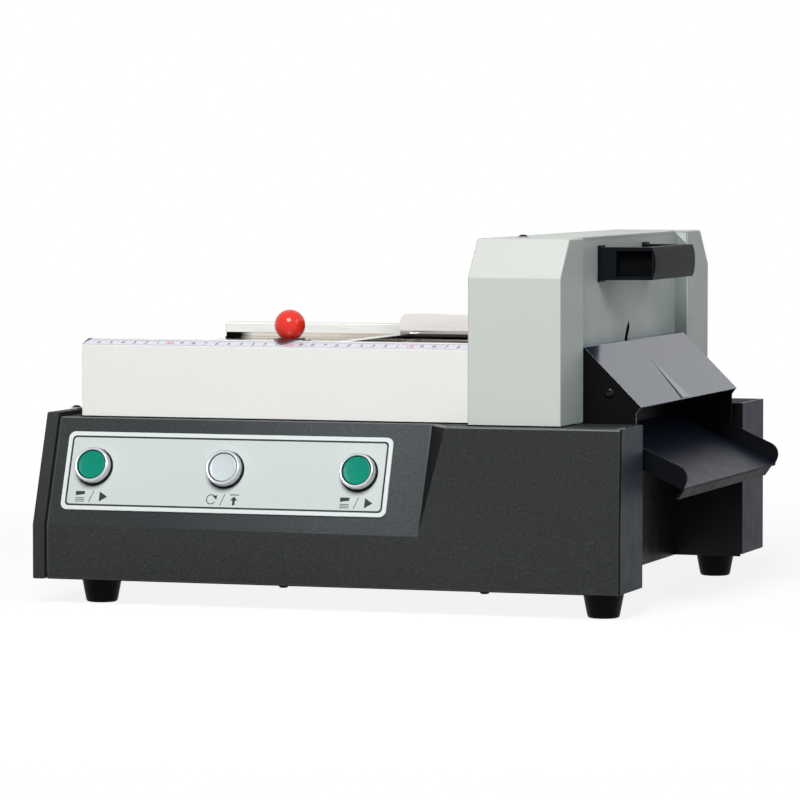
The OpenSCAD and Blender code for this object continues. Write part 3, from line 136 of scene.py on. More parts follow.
class Finish:
    """A procedural material around one Principled shader, patterned in the frame's own metres."""

    def __init__(self, name, **sockets):
        self.material = bpy.data.materials.new(name)
        self.material.use_nodes = True
        self.tree = self.material.node_tree
        self.shader = self.tree.nodes["Principled BSDF"]
        self.place = self.tree.nodes.new("ShaderNodeTexCoord").outputs["Object"]
        self.last_bump = None
        for socket, value in sockets.items():
            self.shader.inputs[socket.replace("_", " ")].default_value = value

    def noise(self, scale, detail=2.0, stretch=(1, 1, 1)):
        """Soft noise with so many features a metre, drawn out along the axes whose stretch is small."""
        mapping = self.tree.nodes.new("ShaderNodeMapping")
        mapping.inputs["Scale"].default_value = stretch
        self.tree.links.new(self.place, mapping.inputs["Vector"])
        node = self.tree.nodes.new("ShaderNodeTexNoise")
        node.inputs["Scale"].default_value = scale
        node.inputs["Detail"].default_value = detail
        self.tree.links.new(mapping.outputs["Vector"], node.inputs["Vector"])
        return node.outputs["Fac"]

    def ramp(self, value, *stops):
        """Colours along a value, as (position, colour) pairs."""
        node = self.tree.nodes.new("ShaderNodeValToRGB")
        elements = node.color_ramp.elements
        while len(elements) < len(stops):
            elements.new(0.5)
        for element, (position, colour) in zip(elements, stops):
            element.position = position
            element.color = colour
        self.tree.links.new(value, node.inputs["Fac"])
        return node.outputs["Color"]

    def tone(self, colour, value, low, high):
        """A colour made darker and lighter along a value."""
        shade = self.ramp(value, (0.3, (low, low, low, 1)), (0.7, (high, high, high, 1)))
        node = self.tree.nodes.new("ShaderNodeMix")
        node.data_type = "RGBA"
        node.blend_type = "MULTIPLY"
        node.inputs["Factor"].default_value = 1.0
        self.tree.links.new(colour, node.inputs["A"])
        self.tree.links.new(shade, node.inputs["B"])
        return node.outputs["Result"]

    def along_x(self, start, end):
        """0 to 1 between two places along the plan's X in millimetres."""
        split = self.tree.nodes.new("ShaderNodeSeparateXYZ")
        self.tree.links.new(self.place, split.inputs["Vector"])
        node = self.tree.nodes.new("ShaderNodeMapRange")
        node.inputs["From Min"].default_value = (start - MID_X) / 1000
        node.inputs["From Max"].default_value = (end - MID_X) / 1000
        self.tree.links.new(split.outputs["X"], node.inputs["Value"])
        return node.outputs["Result"]

    def colour(self, output):
        self.tree.links.new(output, self.shader.inputs["Base Color"])
        return self

    def fade(self, start, end, low, high):
        """The colour made darker and lighter between two places along the plan's X in millimetres."""
        plain = self.shader.inputs["Base Color"].links[0].from_socket
        return self.colour(self.tone(plain, self.along_x(start, end), low, high))

    def rough(self, value, low, high):
        """Roughness between two bounds along a value."""
        node = self.tree.nodes.new("ShaderNodeMapRange")
        node.inputs["From Min"].default_value = 0.3
        node.inputs["From Max"].default_value = 0.7
        node.inputs["To Min"].default_value = low
        node.inputs["To Max"].default_value = high
        self.tree.links.new(value, node.inputs["Value"])
        self.tree.links.new(node.outputs["Result"], self.shader.inputs["Roughness"])
        return self

    def relief(self, value, depth, strength=1.0):
        """Surface relief of a depth in millimetres along a value."""
        node = self.tree.nodes.new("ShaderNodeBump")
        node.inputs["Strength"].default_value = strength
        node.inputs["Distance"].default_value = depth / 1000
        self.tree.links.new(value, node.inputs["Height"])
        if self.last_bump:
            self.tree.links.new(self.last_bump, node.inputs["Normal"])
        self.last_bump = node.outputs["Normal"]
        self.tree.links.new(self.last_bump, self.shader.inputs["Normal"])
        return self


def grained(name, dark, plain, fleck, rough=(0.5, 0.66), grain=1000, depth=0.12, **sockets):
    """Pebbled paint or plastic with fine pale flecks in it."""
    made = Finish(name, **sockets)
    speck = made.noise(grain, 2.5)
    base = made.ramp(speck, (0.32, dark), (0.48, plain), (0.6, plain), (0.74, fleck))
    made.colour(made.tone(base, made.noise(11, 3), 0.94, 1.05))
    made.rough(made.noise(grain * 0.6), *rough)
    return made.relief(speck, depth)


def painted(name, colour, rough, peel=420, depth=0.02, drift=0.03, **sockets):
    """Smooth paint with a slight orange peel and a slow drift of its tone."""
    made = Finish(name, **sockets)
    slow = made.noise(7, 3)
    base = made.ramp(made.noise(peel * 2), (0.3, tuple(c * 0.97 for c in colour[:3]) + (1,)), (0.7, colour))
    made.colour(made.tone(base, slow, 1 - drift, 1.0))
    made.rough(made.noise(60, 4), *rough)
    return made.relief(made.noise(peel), depth)


def metal(name, colour, rough, lines=(1, 1, 1), pitch=900, depth=0.004, streak=0.86, **sockets):
    """Bare metal with fine lines drawn out along the axes whose value in lines is small."""
    made = Finish(name, Metallic=1.0, **sockets)
    grain = made.noise(pitch, 3, lines)
    darker = tuple(c * streak for c in colour[:3]) + (1,)
    made.colour(made.tone(made.ramp(grain, (0.3, darker), (0.7, colour)), made.noise(16, 3), 0.95, 1.0))
    made.rough(grain, *rough)
    return made.relief(grain, depth)


def moulded(name, colour, rough, depth=0.01, **sockets):
    """Moulded plastic or rubber with a fine matt grain."""
    made = Finish(name, **sockets)
    lift = tuple(min(1.0, c * 1.12 + 0.002) for c in colour[:3]) + (1,)
    base = made.ramp(made.noise(700, 3), (0.35, colour), (0.7, lift))
    made.colour(made.tone(base, made.noise(25), 0.95, 1.0))
    made.rough(made.noise(240, 3), *rough)
    return made.relief(made.noise(1500, 2), depth)


COVER = grained("grained_cover", linear(36, 38, 39), linear(46, 48, 48), linear(68, 71, 72), depth=0.08,
                Specular_IOR_Level=0.14)
# Painted light: the slanted panel is the cover's paint made lighter, with a painted sheen that brightens it
# towards its right end
PANEL_SHEEN = grained("panel_paint_sheen", linear(56, 61, 63), linear(69, 74, 76), linear(94, 99, 101), depth=0.08,
                Specular_IOR_Level=0.14).fade(-420, -40, 0.5, 1.0)
# Painted shade: the step between the panel and the block is the cover's paint made much darker
STEP_SHADE = painted("step_shade", linear(20, 22, 24), (0.5, 0.6), Specular_IOR_Level=0.06)
# Painted highlight: the softened edges of the front cover are lighter and glossier than the cover
COVER_EDGE_HIGHLIGHT = painted("cover_edge", linear(84, 87, 89), (0.3, 0.4), Specular_IOR_Level=0.5)
DECK = grained("deck_paint", linear(30, 32, 34), linear(38, 40, 42), linear(52, 55, 57), (0.6, 0.7),
               depth=0.06, Specular_IOR_Level=0.05)
FLANK = painted("flank_paint", linear(50, 55, 66), (0.36, 0.46), drift=0.02, Specular_IOR_Level=0.03)
TRAY = painted("tray_paint", linear(20, 25, 38), (0.36, 0.44), peel=90, depth=0.01, drift=0.05,
               Specular_IOR_Level=0.125)
# Painted shade: the tray's walls and lip take darker copies of the tray's paint
TRAY_WALL_SHADE = painted("tray_wall", linear(15, 17, 20), (0.4, 0.5), peel=90, depth=0.01, drift=0.05,
                    Specular_IOR_Level=0.04)
LIP_SHADE = painted("lip_painted_shade", linear(18, 21, 27), (0.4, 0.5), peel=90, depth=0.01, drift=0.05,
              Specular_IOR_Level=0.02)
# Black sheet for the recess and the flanks' inner walls; on the flanks' front edge behind the seam it stands
# for painted shade
BLACK_SHEET_AND_SHADE = painted("black_sheet", linear(13, 13, 15), (0.28, 0.4), drift=0.1, Specular_IOR_Level=0.2)
# Painted reflection: the glossy black hood has a blue-grey, partly metallic colour that gives it a bluish
# reflection
HOOD = painted("gloss_black_painted_reflection", linear(43, 58, 80), (0.05, 0.09), peel=30, depth=0.01, drift=0.06,
               Metallic=0.3, Specular_IOR_Level=0.22)
# Painted highlight: the hood's softened edges are light grey
HOOD_EDGE_HIGHLIGHT = painted("hood_edge_highlight", linear(176, 181, 183), (0.2, 0.3))
HOOD_SIDE = painted("hood_side", linear(10, 10, 12), (0.5, 0.6), drift=0.1, Specular_IOR_Level=0.06)
# Painted sheen: the flap is a lighter, partly metallic copy of the hood's gloss
FLAP_SHEEN = painted("hood_flap", linear(62, 80, 86), (0.06, 0.1), peel=30, depth=0.01, Metallic=0.35,
               Specular_IOR_Level=0.22)
HEAD = painted("head_paint", linear(203, 207, 202), (0.42, 0.52), drift=0.02, Specular_IOR_Level=0.25)
# Painted shade: a darker copy of the head's paint for the rear cheek's inner face
HEAD_SHADE = painted("head_shade", linear(130, 139, 139), (0.42, 0.52), drift=0.02, Specular_IOR_Level=0.1)
TABLE = painted("table_paint", linear(239, 239, 236), (0.36, 0.46), drift=0.015, Specular_IOR_Level=0.3)
HANDLE = grained("handle_plastic", linear(16, 18, 21), linear(21, 24, 28), linear(30, 33, 38), (0.36, 0.46),
                 grain=1300, depth=0.05, Specular_IOR_Level=0.02)
RUBBER = moulded("foot_rubber", linear(6, 6, 7), (0.4, 0.5), 0.02, Specular_IOR_Level=0.06)
LABEL = painted("label_film", linear(200, 208, 207), (0.3, 0.38), depth=0.006, drift=0.02,
                Specular_IOR_Level=0.25)
BORDER = painted("label_border", linear(218, 225, 225), (0.3, 0.38), depth=0.006, drift=0.015,
                 Specular_IOR_Level=0.25)
INK = moulded("printed_ink", linear(38, 43, 45), (0.4, 0.5), 0.004, Specular_IOR_Level=0.2)
RULER_INK = moulded("ruler_ink", linear(72, 72, 88), (0.4, 0.5), 0.004, Specular_IOR_Level=0.2)
RED_INK = moulded("ruler_red", linear(205, 40, 52), (0.4, 0.5), 0.004, Specular_IOR_Level=0.2)
RULER = painted("ruler_face", linear(226, 226, 240), (0.25, 0.34), depth=0.006, drift=0.02)
BEZEL = metal("satin_bezel", linear(208, 210, 212), (0.3, 0.34), pitch=260, depth=0.0004, streak=0.97)
# Dark rubber for the button gaskets, also used as painted shade inside the button rings and in the shadow
# strips under the table, the head and the cover
GASKET_AND_SHADE = moulded("gasket_rubber_and_shade", linear(14, 15, 16), (0.5, 0.6), 0.02, Specular_IOR_Level=0.1)
GREEN = moulded("green_cap", linear(11, 132, 110), (0.2, 0.28), 0.006, Specular_IOR_Level=0.09)
CLEAR = moulded("clear_cap", linear(200, 206, 209), (0.14, 0.22), 0.004, Subsurface_Weight=0.1,
                Specular_IOR_Level=0.3)
RED = moulded("ball_red", linear(228, 42, 26), (0.08, 0.14), 0.002, Coat_Weight=0.45, Coat_Roughness=0.05,
              Specular_IOR_Level=0.12)
POLISHED = metal("polished_steel", linear(206, 205, 202), (0.06, 0.12), (0.02, 1, 1))
# Painted shade: a dark copy of the polished steel for the underside of the shoe's curl
CURL_DARK_SHADE = metal("curl_painted_shade", linear(72, 68, 66), (0.06, 0.12), (0.02, 1, 1))
SATIN = metal("satin_steel", linear(228, 226, 225), (0.34, 0.44), (0.02, 1, 1), streak=0.95)
BED_STEEL = metal("bed_steel", linear(214, 211, 205), (0.1, 0.18), (0.02, 1, 1))
FENCE = metal("fence_metal", linear(226, 227, 225), (0.34, 0.46), (0.02, 1, 1), streak=0.95)
# Painted shade: the fence's face grows darker towards its right end, beside the shoe
FENCE.fade(-90, -300, 0.55, 1.0)
# Painted reflection: the groove runs from black at the fence's left end through cream to grey, as reflections
# along it
GROOVE_REFLECTION = metal("fence_groove_reflection", linear(228, 216, 204), (0.1, 0.2), (0.02, 1, 1))
GROOVE_REFLECTION.colour(GROOVE_REFLECTION.ramp(GROOVE_REFLECTION.along_x(-373, -97),
                          (0.05, linear(14, 14, 14)), (0.09, linear(226, 222, 214)),
                          (0.6, linear(226, 216, 206)), (0.95, linear(176, 173, 170))))
POINTER = metal("pointer_steel", linear(150, 146, 148), (0.26, 0.36))
PLATE = metal("plate_steel", linear(158, 161, 165), (0.3, 0.45), (1, 0.05, 1))
GROUND = metal("ground_steel", linear(204, 206, 209), (0.14, 0.24), (1, 1, 0.03))
CARRIER = painted("carrier_paint", linear(92, 98, 106), (0.4, 0.5))
CLAMP = metal("clamp_steel", linear(140, 144, 150), (0.3, 0.4), (1, 0.03, 1))
# Painted shade: black on the notch's cut faces, inside the handle's hollow leg, at the cover's end and in the
# seam
SHADE_BLACK = moulded("notch_shade", linear(9, 10, 11), (0.7, 0.8), 0.004, Specular_IOR_Level=0.02)
SCREW_BLACK = metal("black_screw", linear(30, 30, 32), (0.2, 0.3))
SCREW_GLOSS = painted("gloss_screw", linear(9, 9, 10), (0.1, 0.14), Specular_IOR_Level=0.25)
SCREW_BRIGHT = metal("bright_screw", linear(204, 206, 208), (0.18, 0.28))
STICK = moulded("stick_plastic", linear(228, 226, 218), (0.4, 0.5))
BRASS = metal("nut_brass", linear(198, 164, 92), (0.2, 0.32))
MOTOR = painted("motor_paint", linear(72, 77, 84), (0.35, 0.45))
BOARD = moulded("board_green", linear(28, 96, 58), (0.3, 0.45))
SUPPLY = metal("supply_case", linear(176, 178, 182), (0.3, 0.42), (1, 0.04, 1))
INNER = moulded("inner_plastic", linear(30, 32, 36), (0.4, 0.55), 0.02)
BELT = moulded("belt_rubber", linear(20, 20, 21), (0.5, 0.65), 0.04)
MARK = moulded("pale_mark", linear(222, 222, 220), (0.4, 0.5), 0.004)


# Pieces


def add(name, mesh, body, finish):
    """A new piece with its finish, moving with its body."""
    mesh.materials.clear()
    mesh.materials.append(finish.material)
    mesh.shade_smooth()
    mesh.set_sharp_from_angle(angle=SHARP)
    piece = bpy.data.objects.new(name, mesh)
    bpy.context.scene.collection.objects.link(piece)
    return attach(piece, body)


def made_of(bm, name):
    """A mesh from mesh data, with its faces turned outwards."""
    bmesh.ops.recalc_face_normals(bm, faces=bm.faces)
    mesh = bpy.data.meshes.new(name)
    bm.to_mesh(mesh)
    bm.free()
    return mesh


@contextmanager
def new_piece(name, slot, finish, body="machine"):
    """Mesh data to fill, which then becomes a piece of the scene's own."""
    bm = bmesh.new()
    yield bm
    add(name, made_of(bm, name), body, finish)


def without_normals(mesh):
    """The mesh without the normals that the CAD gave it."""
    if "custom_normal" in mesh.attributes:
        mesh.attributes.remove(mesh.attributes["custom_normal"])
    return mesh


def dress(node, finish, edge, steps=2, others=(), rim=None, width_at=None, hard=True):
    """A copy of a CAD node with softened edges of a width in millimetres, standing for the node.

    Faces that are chosen by their middle in the plan take another finish, and the softened edges the rim's.
    With width_at, an edge has a width of its own, by its middle in the plan."""
    bm = bmesh.new()
    bm.from_mesh(frame["nodes"][node].data)
    bmesh.ops.remove_doubles(bm, verts=bm.verts, dist=1e-6)
    bmesh.ops.dissolve_limit(bm, angle_limit=math.radians(0.4), verts=bm.verts, edges=bm.edges)
    if width_at:
        weight = bm.edges.layers.float.new("bevel_weight_edge")
        for line in bm.edges:
            if line.is_manifold and line.calc_face_angle() > SHARP:
                line[weight] = width_at(*plan((line.verts[0].co + line.verts[1].co) / 2)) / edge
    mesh = bpy.data.meshes.new(node + "_mesh")
    bm.to_mesh(mesh)
    bm.free()
    piece = add(node + "_finished", without_normals(mesh), BODY_OF[node], finish)
    bevel = piece.modifiers.new("soft_edges", "BEVEL")
    bevel.width = edge / 1000
    bevel.segments = steps
    bevel.limit_method = "WEIGHT" if width_at else "ANGLE"
    bevel.angle_limit = SHARP
    bevel.harden_normals = hard
    if not hard:
        piece.modifiers.new("even_normals", "WEIGHTED_NORMAL").keep_sharp = True
    for index, (other, chosen) in enumerate(others, 1):
        mesh.materials.append(other.material)
        for face in mesh.polygons:
            if chosen(*plan(face.center)):
                face.material_index = index
    if rim:
        mesh.materials.append(rim.material)
        bevel.material = len(others) + 1
    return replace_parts(piece, node)


def turn(bm, profile, place, steps=72):
    """Turns a profile of (radius, height) pairs in millimetres about the Z of a place."""
    rings = []
    for radius, height in profile:
        if radius < 1e-6:
            rings.append([bm.verts.new(place @ Vector((0, 0, height / 1000)))])
            continue
        angles = [2 * math.pi * i / steps for i in range(steps)]
        points = [Vector((radius * math.cos(a), radius * math.sin(a), height)) / 1000 for a in angles]
        rings.append([bm.verts.new(place @ point) for point in points])
    pairs = list(zip(rings, rings[1:]))
    if len(rings[0]) > 1 or len(rings[-1]) > 1:
        pairs.append((rings[-1], rings[0]))
    for one, two in pairs:
        for i in range(steps):
            j = (i + 1) % steps
            quad = [one[i % len(one)], one[j % len(one)], two[j % len(two)], two[i % len(two)]]
            unique = list(dict.fromkeys(quad))
            if len(unique) > 2:
                bm.faces.new(unique)


def turned(name, node, profile, places, finish, steps=72):
    """One piece of turned solids that stands for a CAD node."""
    bm = bmesh.new()
    for place in places:
        turn(bm, profile, place, steps)
    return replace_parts(add(name, made_of(bm, name), BODY_OF[node], finish), node)


def arc(centre, radius, start, end, count=8):
    """Points of a corner, from one angle to another in degrees."""
    angles = [math.radians(start + (end - start) * i / count) for i in range(count + 1)]
    return [(centre[0] + radius * math.cos(a), centre[1] + radius * math.sin(a)) for a in angles]


def prism(bm, outline, place, low, high):
    """A straight solid on an outline in millimetres, from low to high along the Z of a place."""
    ends = [[bm.verts.new(place @ (Vector((x, y, z)) / 1000)) for x, y in outline] for z in (low, high)]
    bm.faces.new(ends[0])
    bm.faces.new(ends[1])
    for i in range(len(outline)):
        j = (i + 1) % len(outline)
        bm.faces.new((ends[0][i], ends[0][j], ends[1][j], ends[1][i]))


def band(bm, outer, inner, place, low, high):
    """A straight solid between two outlines with as many points, in millimetres."""
    rows = [[bm.verts.new(place @ (Vector((x, y, z)) / 1000)) for x, y in line]
            for line, z in ((outer, low), (outer, high), (inner, high), (inner, low))]
    for one, two in zip(rows, rows[1:] + rows[:1]):
        for i in range(len(outer)):
            j = (i + 1) % len(outer)
            bm.faces.new((one[i], one[j], two[j], two[i]))


def rounded(width, height, radius):
    """Outline of a rectangle with round corners about the origin."""
    x = width / 2 - radius
    y = height / 2 - radius
    return (arc((x, y), radius, 0, 90) + arc((-x, y), radius, 90, 180)
            + arc((-x, -y), radius, 180, 270) + arc((x, -y), radius, 270, 360))


def rectangle(x0, x1, y0, y1):
    """Outline of a rectangle between two places along each axis."""
    return [(x0, y0), (x1, y0), (x1, y1), (x0, y1)]


def figures(bm, text, height, place, thick):
    """Plain figures of a height in millimetres, centred on a place."""
    curve = bpy.data.curves.new("figures", "FONT")
    curve.body = text
    curve.size = height / 700
    curve.extrude = thick / 2000
    curve.align_x = "CENTER"
    curve.align_y = "CENTER"
    shown = bpy.data.objects.new("figures", curve)
    bpy.context.scene.collection.objects.link(shown)
    bpy.context.view_layer.update()
    mesh = bpy.data.meshes.new_from_object(shown.evaluated_get(bpy.context.evaluated_depsgraph_get()))
    mesh.transform(place)
    bm.from_mesh(mesh)
    bpy.data.objects.remove(shown)
    bpy.data.curves.remove(curve)
    bpy.data.meshes.remove(mesh)


# Widths of softened edges, in millimetres
PANEL_EDGE = 2.4
BLOCK_EDGE = 1.8
STEP_EDGE = 0.1
HEM_EDGE = 1.2
SEAM_EDGE = 0.15
PLAIN_EDGE = 0.8
HOOD_PLAIN_EDGE = 0.5
HOOD_FAR_EDGE = 0.05


def cover_width(x, y, z):
    """Width of a softened edge of the front cover, by the edge's middle."""
    on_top = z > COVER_HIGH.z - 2 * NEAR
    if on_top and abs(y - PANEL_SETBACK) < 2 * NEAR:
        return PANEL_EDGE
    if on_top and (y < BLOCK_LEAN + 2 * NEAR or STEP_TOP_X[0] < x < STEP_TOP_X[1]):
        return BLOCK_EDGE
    if STEP_FOOT_X - 2 < x < STEP_TOP_X[1] + 3.5 and CREASE_Z + 7 < z < COVER_HIGH.z - 1:
        return STEP_EDGE
    if z < COVER_LOW.z + 2 * NEAR:
        return HEM_EDGE
    return SEAM_EDGE if x > COVER_HIGH.x - 3 else PLAIN_EDGE


def hood_width(x, y, z):
    """Width of a softened edge of the hood, by the edge's middle."""
    return HOOD_FAR_EDGE if y > HOOD_HIGH.y - 2 and z < HOOD_LIP_Z - 2 else HOOD_PLAIN_EDGE


def on_slant(x, y, z):
    """Whether a point is on the outside of the slanted panel."""
    setback = (z - CREASE_Z) * math.tan(PANEL_TILT)
    return x < STEP_FOOT_X and z > CREASE_Z + NEAR and abs(y - setback) < 2 * NEAR


def on_step(x, y, z):
    """Whether a point is at the middle of the step between the panel and the block, which takes painted
    shade.
    """
    across = STEP_FOOT_X + 2 < x < STEP_TOP_X[1] - 6
    return across and BLOCK_LEAN + 3 < y < PANEL_SETBACK / 2 and CREASE_Z + 37 < z < COVER_HIGH.z - 7


def in_pocket(x, y, z):
    """Whether a point is inside the hollow of the handle's near leg."""
    inside = HANDLE_LOW.x + 12.5 < x < HANDLE_HIGH.x - 2 and HANDLE_LOW.z + 3.5 < z < HANDLE_HIGH.z - 3.5
    leg = HANDLE_LOW.y + 1 + LEG_LEAN * (x - HANDLE_LOW.x) / (HANDLE_HIGH.x - HANDLE_LOW.x)
    return inside and 2 < y - leg < 9.6


def on_seam(x, y, z):
    """Whether a point is on the end of the front cover, at the seam."""
    return x > COVER_HIGH.x - NEAR


def in_flank(x, y, z):
    """Whether a point is on the inner walls of a flank, or on its front edge behind the seam, where the black
    stands for painted shade.
    """
    inner = x < FLANK_HIGH.x - FLANK_T - 0.1
    return inner or (x < FLANK_HIGH.x - NEAR and y < FLANK_LOW.y + 6)


def on_hood_side(x, y, z):
    """Whether a point is on the side plates of the hood."""
    return y < HOOD_LOW.y + SHEET_T + NEAR or y > HOOD_HIGH.y - SHEET_T - NEAR


def on_tray_lip(x, y, z):
    """Whether a point is on the folded lip of the tray."""
    return x > TRAY_HIGH.x - 13 and z < TRAY_LOW.z + 11.7 and TRAY_LOW.y + 20 < y < TRAY_HIGH.y - 20


def on_tray_wall(x, y, z):
    """Whether a point is on the side walls of the tray."""
    return y < TRAY_LOW.y + SHEET_T + NEAR or y > TRAY_HIGH.y - SHEET_T - NEAR


def on_cheek_inside(x, y, z):
    """Whether a point is on the inner face of the rear cheek."""
    return y < REAR_CHEEK_Y + NEAR


def in_groove(x, y, z):
    """Whether a point is in the groove or on the foot of the fence."""
    return z < FENCE_Z + GROOVE_H + 0.1


def under_curl(x, y, z):
    """Whether a point is on the underside of the shoe's curl, which takes painted shade."""
    return z < CURL_SHADE_Z


def on_curl(x, y, z):
    """Whether a point is on the bright part of the shoe's curl."""
    return CURL_SHADE_Z <= z < CURL_Z


def in_notch(x, y, z):
    """Whether a point is on the cut faces of the side panel's notch."""
    in_sheet = SIDE_LOW.x + 0.2 < x < SIDE_HIGH.x - 0.1
    return in_sheet and NOTCH_Y[0] < y < NOTCH_Y[1] and SIDE_LOW.z + 0.5 < z < NOTCH_TOP_Z


# Pieces of one finish, with the width of their softened edges in millimetres and the steps across it
for node, finish, edge, steps in (
    ("left_end_cap", COVER, 1.2, 3), ("top_deck", DECK, 0.5, 2), ("rear_cover", COVER, 0.6, 2),
    ("recess_back_wall", BLACK_SHEET_AND_SHADE, 0.3, 2), ("bottom_plate", PLATE, 0.3, 2),
    ("label_plate", LABEL, 0.25, 2), ("feed_table", TABLE, 0.8, 3), ("bed_plate", BED_STEEL, 0.3, 2),
    ("ruler_bar", RULER, 0.25, 2), ("guide_rail", POLISHED, 0.3, 2), ("gauge_arm", POLISHED, 0.5, 2),
    ("head_front_cover", HEAD, 1.3, 3), ("head_top_cover", HEAD, 0.5, 2), ("power_inlet", INNER, 0.5, 2),
    ("switch_frame", INNER, 0.5, 2), ("power_rocker", INNER, 0.35, 2), ("clamp_bar", CLAMP, 0.5, 2),
    ("bed_beam", PLATE, 0.4, 2), ("cutting_stick", STICK, 0.3, 2), ("blade_carrier", CARRIER, 0.6, 2),
):
    dress(node, finish, edge, steps)

# Front cover with a round top edge that is glossier and lighter as a painted highlight, painted shade at its
# end in the seam, a painted sheen on the slanted panel and painted shade on the step; flanks with black inner
# walls and painted shade on their front edge behind the seam
dress("front_cover", COVER, PANEL_EDGE, 4, [(SHADE_BLACK, on_seam), (PANEL_SHEEN, on_slant), (STEP_SHADE, on_step)],
      COVER_EDGE_HIGHLIGHT, cover_width)
for node in ("right_front_flank", "right_rear_flank"):
    dress(node, FLANK, 1.0, 3, [(BLACK_SHEET_AND_SHADE, in_flank)])

# Outlet: a glossy hood with black sides, a painted reflection tint and painted highlights on its edges, and a
# tray with painted shade on its walls and lip
dress("chute_hood", HOOD, HOOD_PLAIN_EDGE, 2, [(HOOD_SIDE, on_hood_side)], HOOD_EDGE_HIGHLIGHT, hood_width)
dress("catch_tray", TRAY, 0.3, 2, [(LIP_SHADE, on_tray_lip), (TRAY_WALL_SHADE, on_tray_wall)])

# Head: a handle with painted shade inside its hollow leg, and a rear cheek with painted shade on its inner
# face
dress("carry_handle", HANDLE, 1.2, 3, [(SHADE_BLACK, in_pocket)], hard=False)
dress("head_rear_cover", HEAD, 1.3, 3, [(HEAD_SHADE, on_cheek_inside)])

# Feed table: a fence with a polished groove and painted reflections in it, a pointer with dark edges and a
# satin shoe with a polished curl whose underside takes painted shade
dress("rear_fence", FENCE, 0.35, 2, [(GROOVE_REFLECTION, in_groove)])
dress("pointer_plate", POINTER, 0.35, 2, rim=SCREW_BLACK)
dress("gauge_shoe", SATIN, 0.35, 2, [(CURL_DARK_SHADE, under_curl), (POLISHED, on_curl)])

# Side panel of the head, with painted shade on the cut faces of its notch
dress("head_side_panel", HEAD, 0.15, 2, [(SHADE_BLACK, in_notch)])

# Pieces inside the covers keep their CAD shape
for node, finish in (
    ("contact_blocks", INNER), ("front_side_frame", PLATE), ("rear_side_frame", PLATE), ("top_beam", PLATE),
    ("guide_columns", GROUND), ("screw_bearings", PLATE), ("drive_nuts", BRASS), ("blade", GROUND),
    ("blade_bolts", SCREW_BLACK), ("lead_screw_front", GROUND), ("lead_screw_rear", GROUND),
    ("motor_pulley", GROUND), ("gear_motor", MOTOR), ("motor_bracket", PLATE), ("drive_belt", BELT),
    ("control_board", BOARD), ("power_supply", SUPPLY), ("handle_screws", SCREW_BRIGHT),
    ("foot_screws", SCREW_BRIGHT),
):
    for material_slot in frame["nodes"][node].material_slots:
        material_slot.material = finish.material

# Springs over the clamp, as a copy of the CAD coils with a mesh of their own
coils = without_normals(frame["nodes"]["clamp_springs"].data.copy())
springs = add("clamp_springs_coiled", coils, BODY_OF["clamp_springs"], GROUND)
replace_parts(springs, "clamp_springs")
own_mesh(springs)

# Rubber feet with a rounded tread and a screw pocket
foot_places = [upright(x, y, 0) for x, y in ((-356, 34), (59, 34), (-356, 408), (51.5, 408))]
foot = [(5, 8), (5, 0.8), (5.8, 0), (10.6, 0), (11.7, 0.4), (12.4, 1.3), (12.8, 2.8), (15.85, 18.6),
        (16, 19.2), (16, 20), (2.1, 20), (2.1, 8)]
turned("rubber_feet_turned", "rubber_feet", foot, foot_places, RUBBER)

# Screws with a socket in their head
pan_head = [(0, 0.9), (1.5, 0.9), (1.5, 2.3), (2.0, 2.5), (2.7, 2.4), (3.5, 1.9), (3.9, 1.1), (4, 0), (2, 0)]
down = Matrix.Rotation(math.pi, 4, "X")
back = Matrix.Rotation(-math.pi / 2, 4, "X")
forth = Matrix.Rotation(math.pi / 2, 4, "X")
under_places = [upright(x, y, 20) @ down for x in (-194.5, -30) for y in (12, 445)]
rear_places = [upright(x, 460, 137) @ back for x in (-377, -194.5, 68)]
turned("base_screws_turned", "base_screws", pan_head + [(2, -4), (0, -4)], under_places + rear_places,
       SCREW_BLACK, 32)
HOOD_SCREW_XZ = ((51, 171), (40, 128))
hood_places = [upright(x, HOOD_LOW.y, z) @ forth for x, z in HOOD_SCREW_XZ]
hood_places += [upright(x, HOOD_HIGH.y, z) @ back for x, z in HOOD_SCREW_XZ]
turned("hood_screws_turned", "hood_screws", pan_head + [(2, -1.5), (0, -1.5)], hood_places, SCREW_GLOSS, 32)

# Dome-headed cover screws, each over a bright washer
WASHER_T = 1.3
DOME_R = 3.5
DOME_H = 1.75
washer = [(0, 0), (4.7, 0), (4.7, WASHER_T - 0.3), (4.4, WASHER_T), (0, WASHER_T)]
dome = [(0, 2.2), (1.2, 2.2), (1.2, 2.95)]
for a in (0.4, 0.6, 0.8, 1.0, 1.2, 1.4, 1.55):
    dome.append((DOME_R * math.sin(a), WASHER_T + DOME_H * math.cos(a)))
dome.append((0, WASHER_T))
dome_places = [upright(-12, 54, 291), upright(-396, 80, 150.5)]
turned("cover_screws_turned", "cover_screws", dome, dome_places, SCREW_BLACK, 48)
with new_piece("cover_washers", "screw_bright", SCREW_BRIGHT) as bm:
    for place in dome_places:
        turn(bm, washer, place, 48)

